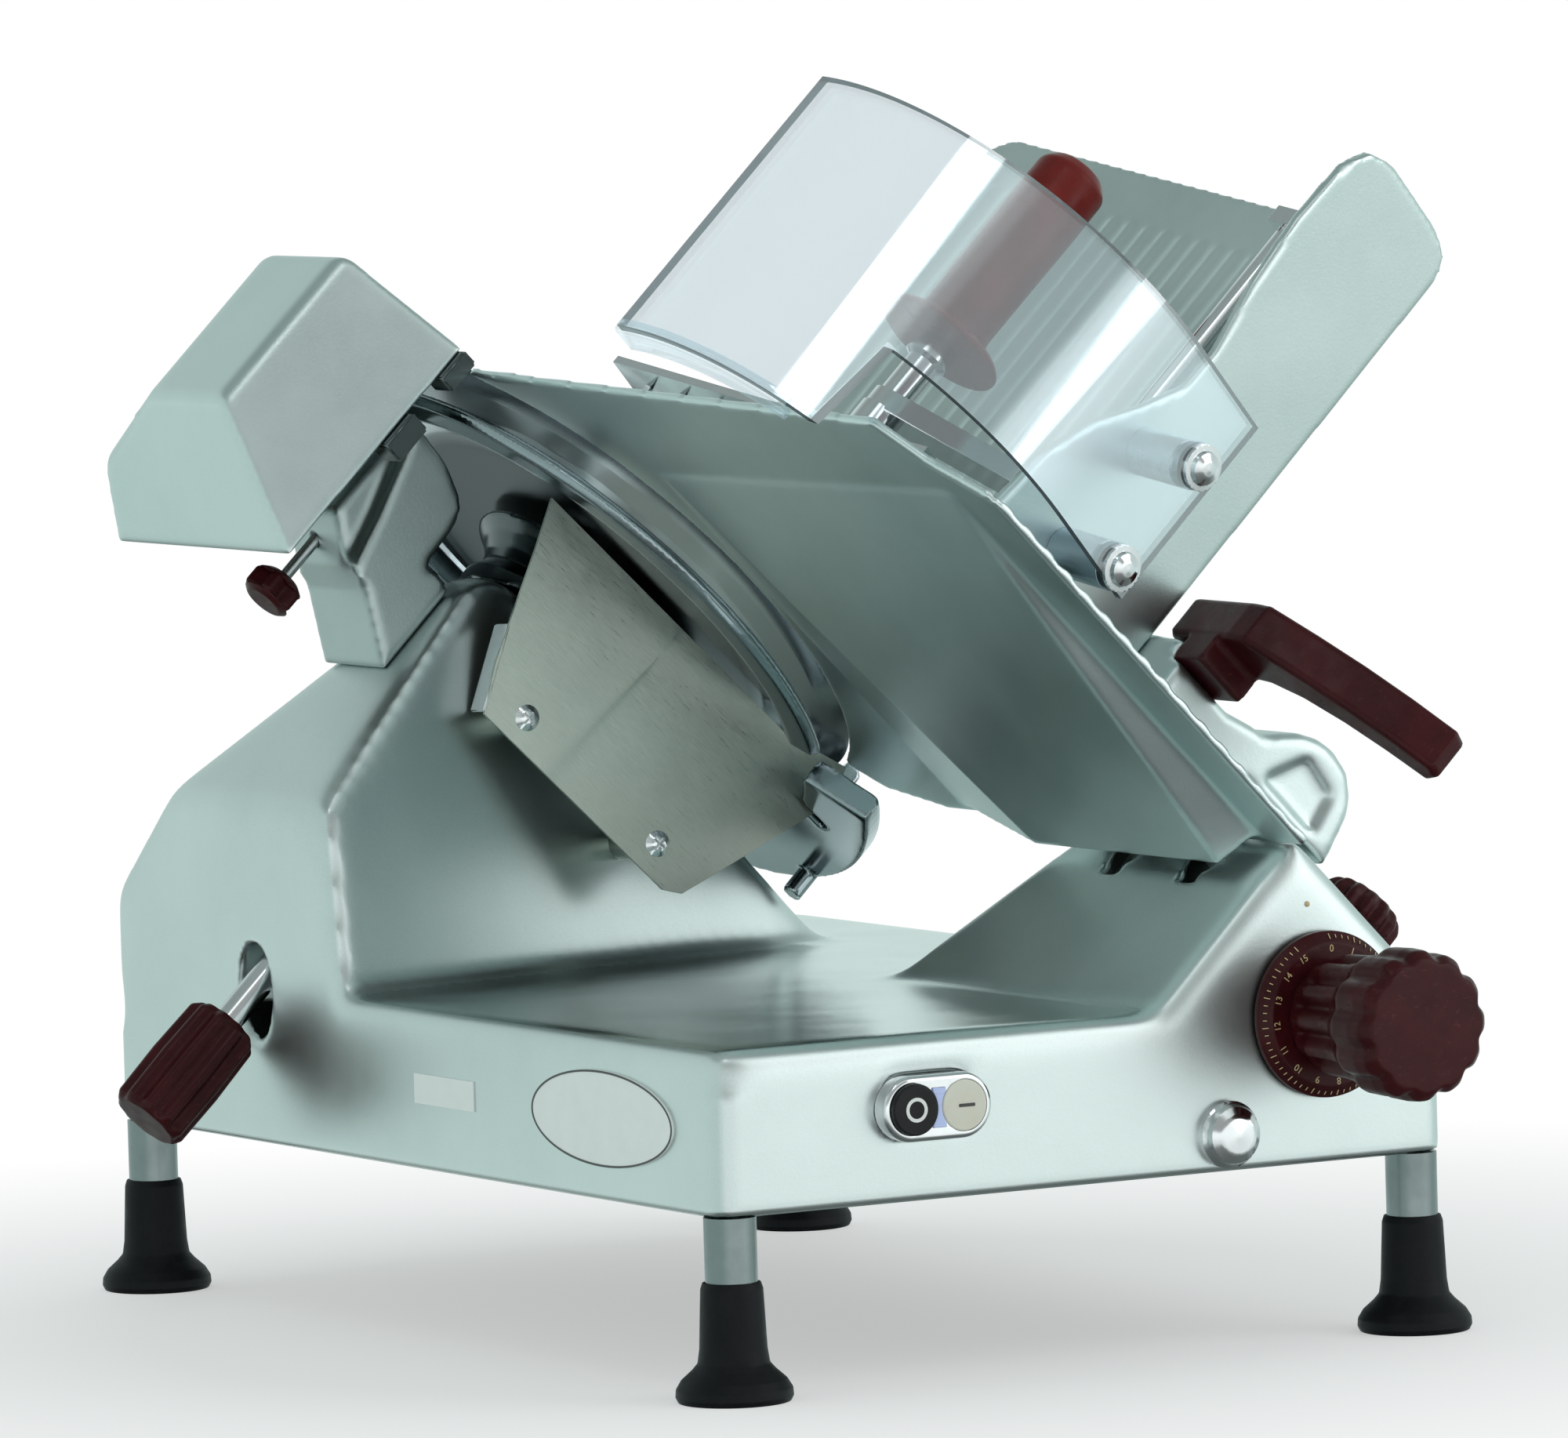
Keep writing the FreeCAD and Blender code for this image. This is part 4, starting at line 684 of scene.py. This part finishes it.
def dial():
    """Thickness dial: scale flange with its marks, and a fluted grip."""
    place = front_frame(*DIAL)
    flange = round_corners([(0, 2), (38.5, 2), (38.5, 5.5), (33, 9.5), (0, 9.5)], [0, 0.8, 1.5, 3, 0])
    mesh = lathe("dial_scale_flange", flange, place, 160)
    piece("dial_scale_flange", mesh, "dial_knob", finish["red_plastic"])
    outline = [(0, 8), (23, 8), (26.5, 14), (29, 24), (29.5, 42), (31, 52), (34.5, 60), (35, 74),
               (34.5, 83), (30.5, 87.5), (0, 88)]
    grip = dense(round_corners(outline, [0, 1, 6, 8, 8, 8, 8, 10, 5, 4, 0]), 1.5)

    def radial(radius, height, angle):
        wave = 0.5 - 0.5 * math.cos(12 * angle)
        body = flute(12, 5.2, 10, 58, 9, 1.6)(radius, height, angle)
        return body - 2.6 * wave ** 2 * min(max((height - 50) / 10, 0), 1) * min(1.0, radius / 34.0) ** 6

    piece("dial_grip", lathe("dial_grip", grip, place, 288, radial), "dial_knob", finish["red_plastic"])
    for mark in range(DIAL_MARKS):
        angle = DIAL_STEP * mark
        number("dial_number_" + str(mark), str(mark), place @ Matrix.Rotation(-angle, 4, "Z"), 30.6, 9.3)
        for part in range(4 if mark < DIAL_MARKS - 1 else 1):
            turn = place @ Matrix.Rotation(-angle - DIAL_STEP * part / 4, 4, "Z")
            tick("dial_tick_%d_%d" % (mark, part), turn, 1.9 if part else 3.0)


def tick(name, place, length):
    """Slim bar that lies on the flange's bevelled rim."""
    on_rim = Vector((0, 36.2, 7.75))
    tilt = Matrix.Translation(on_rim) @ Matrix.Rotation(math.radians(-36), 4, "X")
    piece(name, bar(name, (0.45, length, 0.3), place @ tilt, 0.08, 1), "dial_knob", finish["print"], False)


def number(name, text, place, radius, height):
    """Raised digits on the dial's flange."""
    curve = bpy.data.curves.new(name, "FONT")
    curve.body = text
    curve.size = 4.6
    curve.extrude = 0.12
    curve.align_x = "CENTER"
    curve.align_y = "CENTER"
    holder = bpy.data.objects.new(name + "_text", curve)
    bpy.context.scene.collection.objects.link(holder)
    bpy.context.view_layer.update()
    mesh = bpy.data.meshes.new_from_object(holder.evaluated_get(bpy.context.evaluated_depsgraph_get()))
    bpy.data.objects.remove(holder)
    mesh.materials.clear()
    mesh.transform(place @ Matrix.Translation(Vector((0, radius, height + 0.25))))
    piece(name, mesh, "dial_knob", finish["print"], False)


def ribbed_knobs():
    spindle = blade_frame(*BLADE_CENTRE, 0)
    outline = [(0, 25), (17, 25), (19.5, 29), (20, 56), (19, 84), (15, 88), (7.2, 88), (7.2, 60), (0, 60)]
    barrel = dense(round_corners(outline, [0, 3, 3, 12, 3, 3, 1, 0, 0]), 1.5)
    mesh = lathe("tie_rod_grip", barrel, spindle, 200, flute(10, 3.0, 24, 90, 6, 1.2))
    piece("tie_rod_grip", mesh, "tie_rod_knob", finish["red_plastic"])

    lock = blade_frame(*LOCK_KNOB, 0)
    outline = [(0, 392), (4, 392), (4, 398), (18, 398), (21.5, 401), (21.5, 408), (18, 413.5), (0, 414.5)]
    cap = dense(round_corners(outline, [0, 0, 1, 2, 2, 6, 6, 0]), 1.2)
    mesh = lathe("lock_knob_grip", cap, lock, 200, flute(14, 2.4, 397, 415, 4, 1.2))
    piece("lock_knob_grip", mesh, "lock_knob", finish["red_plastic"])

    clamp = blade_frame(*CLAMP_KNOB, 0)
    outline = [(0, 250), (10, 250), (13.5, 253), (13.5, 262), (9, 265.5), (3, 266.5), (3, 330), (0, 330)]
    lobed = dense(round_corners(outline, [0, 3, 3, 3, 3, 1, 0.5, 0]), 1.0)
    knob = lathe("clamp_knob_grip", lobed, clamp, 160, flute(5, 4.2, 248, 267, 2, 0.9))
    piece("clamp_knob_grip", knob, "sharpener_knob", [finish["red_plastic"], finish["bright_steel"]])
    seam = clamp @ Vector((0, 0, CLAMP_STEM_FOOT))
    for face in knob.polygons:
        face.material_index = int((face.center - seam).dot(OUT_BLADE) > 0)


def pusher_grip():
    place = tray_frame(*PUSHER_STEM, 0)
    outline = [(6.1, 478), (32, 478), (32.5, 480), (30, 482.6), (19.5, 485), (18, 494), (18.6, 560),
               (18.4, 583), (13, 589.5), (0, 590), (0, 560.5), (6.1, 560.5)]
    grip = round_corners(outline, [0, 1, 1, 2, 5, 12, 20, 6, 6, 0, 0, 0])
    piece("pusher_hand_grip", lathe("pusher_hand_grip", dense(grip, 4.0), place, 128), "pusher_grip",
          finish["grip_plastic"])


def rubber_boots():
    outline = [(12.2, 54), (13.2, 54), (14.2, 51), (15.4, 24), (16.4, 17.5), (19, 14.5), (24, 10),
               (26.4, 6), (26.7, 2.5), (25.4, 0), (8, 0), (8, 1.5), (4, 9), (12.2, 9)]
    boot = round_corners(outline, [0.4, 1, 4, 10, 3, 4, 4, 2, 1.5, 1, 0.5, 0.5, 0, 0])
    joined = bmesh.new()
    for x, y in FOOT_SPOTS:
        mesh = lathe("boot", dense(boot, 2.5), body_frame(x, y, 0), 96)
        joined.from_mesh(mesh)
    mesh = bpy.data.meshes.new("rubber_boots")
    joined.to_mesh(mesh)
    joined.free()
    piece("rubber_boots", mesh, "rubber_feet", finish["rubber"])


# ---------------------------------------------------------------- blade

def blade_disc():
    place = blade_frame(*BLADE_CENTRE, 0)
    outline = [(9.2, 376.5), (98, 376.5), (108, 377.5), (122, 382), (138, 384.6), (150, 386), (150, 385.8),
               (137, 381.5), (122, 378.5), (108, 373.2), (98, 373), (9.2, 373)]
    disc = round_corners(outline, [0, 8, 8, 12, 12, 0, 0, 12, 12, 8, 8, 0], 8)
    piece("blade_disc", lathe("blade_disc", disc, place, 256), "blade", finish["blade_steel"], sharp=35)


def deflector_tab():
    """Polished tab folded back from the deflector's left edge."""
    low, high = Vector((0, 127.5, 269.0)), Vector((0, 146.0, 309.0))
    run = (high - low).normalized()
    back = Vector((1, 0, 0))
    axes = Matrix((run, back, run.cross(back))).transposed().to_4x4()
    sheet = blade_frame(*DEFLECTOR_CORNER, 0, DEFLECTOR_TURN)
    depth, thick = 15.0, 2.2
    place = sheet @ Matrix.Translation((low + high) / 2 + back * (depth / 2 - 1.0)) @ axes
    mesh = bar("deflector_tab", ((high - low).length, depth, thick), place, 0.7, 3)
    piece("deflector_tab", mesh, "slice_deflector", finish["bright_steel"], False, sharp=40)


def jaw_blocks():
    """Two dark steel jaws under the hood's front lower corner."""
    y, wide = 382.5, 17.0
    jaws = (("front_jaw", 263.8, 376.0, 9.4, 19.0), ("rear_jaw", 262.5, 334.0, 12.0, 22.0))
    for name, u, n, height, depth in jaws:
        mesh = bar(name, (wide, height, depth), blade_frame(y, u, n), 1.2, 3)
        piece(name, mesh, "sharpener_housing", finish["jaw_steel"], False, sharp=40)


# ---------------------------------------------------------------- clear guard

GUARD_FACE = -38.7
GUARD_FOOT = 56.0
GUARD_THICK = 4.0
GUARD_BEND = 113.0
GUARD_R = 143.0
GUARD_FRONT = 511.0
GUARD_BACK = 404.5
GUARD_BACK_HIGH = 354.5
GUARD_STEP = 262.0


def guard_section():
    """(f, w) points of the sheet's outer skin, with outward directions, from the wall edge to the lip."""
    flat = [((GUARD_FACE, w), (-1.0, 0.0)) for w in np.linspace(GUARD_FOOT, GUARD_BEND, 12)[:-1]]
    arc = []
    for angle in np.linspace(math.pi, math.pi / 2 - math.radians(8), 48):
        away = (math.cos(angle), math.sin(angle))
        arc.append(((GUARD_FACE + GUARD_R + GUARD_R * away[0], GUARD_BEND + GUARD_R * away[1]), away))
    return flat + arc


def guard_sheet():
    """Bent clear sheet. Its low edge steps down past the gauge plate and carries a folded lip."""
    section = guard_section()
    rows = 24
    skins = []
    for inset in (0.0, GUARD_THICK):
        for (f, w), (away_f, away_w) in section:
            point = tray_frame(f - away_f * inset, w - away_w * inset, 0).translation
            u = (point - CORNER).dot(UP_BLADE) / MM
            start = GUARD_BACK if u < GUARD_STEP else GUARD_BACK_HIGH
            for row in range(rows + 1):
                n = start + (GUARD_FRONT - start) * row / rows
                skins.append(tray_frame(f - away_f * inset, w - away_w * inset, n).translation)
    count, wide = len(section), rows + 1
    faces, marks = [], []

    def quad(a, b, c, d, mark):
        faces.append((a, b, c, d))
        marks.append(mark)

    back = count * wide
    for column in range(count - 1):
        for row in range(rows):
            a, b = column * wide + row, (column + 1) * wide + row
            quad(a, b, b + 1, a + 1, 0)
            quad(back + a, back + a + 1, back + b + 1, back + b, 0)
        a, b = column * wide, (column + 1) * wide
        quad(a, back + a, back + b, b, 1)
        quad(a + rows, b + rows, back + b + rows, back + a + rows, 1)
    for column in (0, count - 1):
        for row in range(rows):
            a = column * wide + row
            quad(a, a + 1, back + a + 1, back + a, 1)
    mesh = mesh_from("hand_guard_sheet", skins, faces, None, marks)
    face_outwards(mesh)
    piece("hand_guard_sheet", mesh, "hand_guard", [finish["clear_plastic"], finish["clear_edge"]], sharp=40)


def guard_lip():
    """Folded lip along the guard's low rear edge."""
    outline = [(143, 352), (143, 358.5), (139.2, 358.5), (139.2, 356.5), (128, 356.5), (128, 352)]
    profile = round_corners(outline, [2.5, 0.5, 0.5, 1.2, 1.6, 1.6], 4)
    points, faces = [], []
    angles = np.linspace(math.radians(125), math.radians(82), 32)
    for angle in angles:
        for radius, n in profile:
            f = GUARD_FACE + GUARD_R + radius * math.cos(angle)
            w = GUARD_BEND + radius * math.sin(angle)
            points.append(tray_frame(f, w, n).translation)
    rows = len(profile)
    for column in range(len(angles) - 1):
        for row in range(rows):
            a, b = column * rows + row, column * rows + (row + 1) % rows
            faces.append((a, b, b + rows, a + rows))
    faces.append(tuple(range(rows)))
    faces.append(tuple(range((len(angles) - 1) * rows, len(angles) * rows))[::-1])
    mesh = mesh_from("hand_guard_lip", points, faces)
    face_outwards(mesh)
    piece("hand_guard_lip", mesh, "hand_guard", finish["clear_plastic"], False, sharp=40)


# ---------------------------------------------------------------- front controls

def switch_marks():
    """Ring on the stop button and bar on the start button."""
    ring = [(4.0, 11.8), (5.6, 11.8), (5.6, 12.25), (4.0, 12.25)]
    mesh = lathe("stop_ring", ring, front_frame(*STOP_BUTTON), 48)
    piece("stop_ring", mesh, "stop_button", finish["white_print"], False, sharp=40)
    cap_face = 9.6
    place = front_frame(*START_BUTTON) @ Matrix.Translation(Vector((0, 0, cap_face)))
    mesh = bar("start_bar", (8.5, 1.5, 0.5), place, 0.2)
    piece("start_bar", mesh, "start_button", finish["black_print"], False, sharp=40)


def index_dot():
    """Dot above the dial that its numbers are read against."""
    dot = [(0, -0.2), (1.3, -0.2), (1.3, 0.3), (0.9, 0.6), (0, 0.6)]
    mesh = lathe("index_dot", dot, front_frame(*INDEX_DOT), 32)
    piece("index_dot", mesh, "base_casting", finish["print"], False)


def badge_rim():
    """Thin dark line around the blank oval badge."""
    facing_left = Matrix(((0, 0, -1, 0), (-1, 0, 0, 0), (0, 1, 0, 0), (0, 0, 0, 1)))
    plate_face = -1.2
    place = body_frame(plate_face, *BADGE, facing_left)
    points, faces = [], []
    steps = 128
    section = ((0.0, 0.0), (0.0, 0.25), (-1.0, 0.25), (-1.0, 0.0))
    sides = len(section)
    for step in range(steps):
        angle = 2 * math.pi * step / steps
        for inset, height in section:
            across, up = BADGE_HALF[0] + inset, BADGE_HALF[1] + inset
            points.append((across * math.cos(angle), up * math.sin(angle), height))
    for step in range(steps):
        here, there = step * sides, (step + 1) % steps * sides
        for side in range(sides):
            following = (side + 1) % sides
            faces.append((here + side, there + side, there + following, here + following))
    mesh = mesh_from("badge_rim", points, faces, place)
    piece("badge_rim", mesh, "name_plates", finish["black_print"], False, sharp=40)


# ---------------------------------------------------------------- carried-over CAD nodes

def dress_cad_nodes():
    """CAD pieces that keep their own shape get their material, a fine bevel and smooth shading."""
    special = {"guard_standoffs": "sleeve", "foot_posts": "post_steel"}
    for name, obj in nodes.items():
        if obj.hide_render:
            continue
        material = finish[special.get(name, slot_of[name])]
        obj.data.materials.clear()
        obj.data.materials.append(material)
        weld = obj.modifiers.new("weld", "WELD")
        weld.merge_threshold = WELD_GAP * MM
        if name == "slice_deflector":
            flats = obj.modifiers.new("clean_flats", "DECIMATE")
            flats.decimate_type = "DISSOLVE"
            flats.angle_limit = math.radians(1.0)
        bevel = obj.modifiers.new("fine_edge", "BEVEL")
        bevel.width = 0.35 * MM
        bevel.segments = 2
        bevel.limit_method = "ANGLE"
        bevel.angle_limit = math.radians(38)
        bevel.harden_normals = False
        obj.data.shade_smooth()
        normals = obj.modifiers.new("even_shading", "WEIGHTED_NORMAL")
        normals.keep_sharp = False


# ---------------------------------------------------------------- stage

def stage_floor():
    """Pale floor that takes the contact shadow, fades to white for the camera and isn't reflected."""
    half = 9.0
    corners = [(-half, -half, 0), (half, -half, 0), (half, half, 0), (-half, half, 0)]
    mesh = mesh_from("studio_floor", corners, [(0, 1, 2, 3)])
    tree = Tree("studio_floor_paint")
    cloud = tree.noise(3.0, 3.0)
    path = tree.add("ShaderNodeLightPath")
    tree.set(base=tree.mix(cloud, rgb(0.90, 0.90, 0.90), rgb(0.93, 0.93, 0.93)), rough=0.8)
    reach = tree.add("ShaderNodeVectorMath", operation="LENGTH")
    tree.feed(reach.inputs[0], tree.place)
    fade = tree.span(reach.outputs["Value"], 0.45, 1.0, 0.30, 0.85)
    white = tree.add("ShaderNodeEmission")
    fading = tree.add("ShaderNodeMixShader")
    tree.feed(fading.inputs[0], tree.math("MULTIPLY", fade, path.outputs["Is Camera Ray"]))
    tree.feed(fading.inputs[1], tree.shader.outputs[0])
    tree.feed(fading.inputs[2], white.outputs[0])
    clear = tree.add("ShaderNodeBsdfTransparent")
    choose = tree.add("ShaderNodeMixShader")
    tree.feed(choose.inputs[0], path.outputs["Is Glossy Ray"])
    tree.feed(choose.inputs[1], fading.outputs[0])
    tree.feed(choose.inputs[2], clear.outputs[0])
    tree.feed(tree.output.inputs["Surface"], choose.outputs[0])
    mesh.materials.append(tree.material)
    floor = bpy.data.objects.new("studio_floor", mesh)
    bpy.context.scene.collection.objects.link(floor)


def softbox(name, spot, target, width, height, power):
    """Rectangular light that the camera doesn't see."""
    light = bpy.data.lights.new(name, "AREA")
    light.shape = "RECTANGLE"
    light.size = width
    light.size_y = height
    light.energy = power
    obj = bpy.data.objects.new(name, light)
    bpy.context.scene.collection.objects.link(obj)
    obj.location = spot
    obj.rotation_euler = (Vector(target) - Vector(spot)).to_track_quat("-Z", "Y").to_euler()
    obj.visible_camera = False


# Studio seen in reflections: (height of the direction, brightness) pairs, in front and behind.
BRIGHTEST = 1.6
FRONT_TINT = (0.94, 1.0, 0.99)
FRONT_STUDIO = ((-1.0, 0.16), (-0.55, 0.26), (-0.34, 1.0), (-0.06, 1.38), (0.08, 1.38), (0.17, 0.46),
                (0.60, 0.44), (0.66, 0.70), (0.71, 1.35), (0.82, 1.35), (0.90, 0.55), (1.0, 0.48))
BACK_TINT = (0.84, 1.0, 0.97)
BACK_STUDIO = ((-1.0, 0.14), (-0.66, 0.18), (-0.46, 0.38), (-0.33, 0.90), (-0.2, 0.95), (-0.10, 0.86),
               (0.2, 0.80), (0.5, 0.78), (0.66, 0.48), (0.8, 0.38), (1.0, 0.44))
# How far a direction leans to the back (its y) where the front studio gives way to the back one.
FRONT_ENDS = -0.80
BACK_STARTS = -0.40


def studio_light():
    """Soft boxes, and a world that is white to the camera and shaded by height in reflections."""
    softbox("key_right", (1.9, -2.2, 1.3), (0, 0, 0.3), 1.8, 2.2, 18)
    softbox("front_top", (-1.0, -1.75, 2.85), (0, 0, 0.3), 0.6, 1.0, 3.6)
    world = bpy.data.worlds.new("studio_world")
    bpy.context.scene.world = world
    world.use_nodes = True
    made, links = world.node_tree.nodes, world.node_tree.links
    made.clear()
    place = made.new("ShaderNodeTexCoord")
    split = made.new("ShaderNodeSeparateXYZ")
    links.new(place.outputs["Generated"], split.inputs[0])
    height = made.new("ShaderNodeMapRange")
    height.inputs["From Min"].default_value = -1.0
    links.new(split.outputs[2], height.inputs["Value"])
    side = made.new("ShaderNodeMapRange")
    side.inputs["From Min"].default_value = FRONT_ENDS
    side.inputs["From Max"].default_value = BACK_STARTS
    links.new(split.outputs[1], side.inputs["Value"])
    blend = made.new("ShaderNodeMix")
    blend.data_type = "RGBA"
    links.new(side.outputs[0], blend.inputs[0])
    for socket, stops, tint in ((6, FRONT_STUDIO, FRONT_TINT), (7, BACK_STUDIO, BACK_TINT)):
        tone = made.new("ShaderNodeValToRGB")
        ramp = tone.color_ramp
        ramp.interpolation = "EASE"
        ramp.elements.remove(ramp.elements[-1])
        for index, (level, bright) in enumerate(stops):
            spot = (level + 1) / 2
            stop = ramp.elements[0] if index == 0 else ramp.elements.new(spot)
            stop.position = spot
            stop.color = rgb(*[bright / BRIGHTEST * part for part in tint])
        links.new(height.outputs[0], tone.inputs[0])
        links.new(tone.outputs[0], blend.inputs[socket])
    scene_tone = made.new("ShaderNodeBackground")
    scene_tone.inputs["Strength"].default_value = BRIGHTEST
    links.new(blend.outputs[2], scene_tone.inputs["Color"])
    white = made.new("ShaderNodeBackground")
    white.inputs["Color"].default_value = rgb(1, 1, 1)
    path = made.new("ShaderNodeLightPath")
    choose = made.new("ShaderNodeMixShader")
    links.new(path.outputs["Is Camera Ray"], choose.inputs[0])
    links.new(scene_tone.outputs[0], choose.inputs[1])
    links.new(white.outputs[0], choose.inputs[2])
    output = made.new("ShaderNodeOutputWorld")
    links.new(choose.outputs[0], output.inputs["Surface"])


def camera():
    """Camera at the photograph's viewpoint."""
    turn, dip, roll = CAMERA_TURN, CAMERA_DIP, CAMERA_ROLL
    right = Vector((math.cos(turn), -math.sin(turn), 0))
    ahead = Vector((math.sin(turn) * math.cos(dip), math.cos(turn) * math.cos(dip), -math.sin(dip)))
    above_it = right.cross(ahead)
    side = right * math.cos(roll) + above_it * math.sin(roll)
    top = above_it * math.cos(roll) - right * math.sin(roll)
    data = bpy.data.cameras.new("photo_camera")
    data.lens = CAMERA_LENS
    data.sensor_width = 36.0
    data.clip_end = 100.0
    obj = bpy.data.objects.new("photo_camera", data)
    bpy.context.scene.collection.objects.link(obj)
    obj.matrix_world = (Matrix.Translation(CORNER + Vector(CAMERA_SPOT) * MM)
                        @ Matrix((side, top, -ahead)).transposed().to_4x4())
    bpy.context.scene.camera = obj


def look():
    """Plain sRGB output, without a film look."""
    settings = bpy.context.scene.view_settings
    settings.view_transform = "Standard"
    settings.look = "None"
    settings.exposure = 0.0


castings()
dial()
ribbed_knobs()
pusher_grip()
rubber_boots()
blade_disc()
deflector_tab()
jaw_blocks()
guard_sheet()
guard_lip()
switch_marks()
index_dot()
badge_rim()
dress_cad_nodes()
stage_floor()
studio_light()
camera()
look()
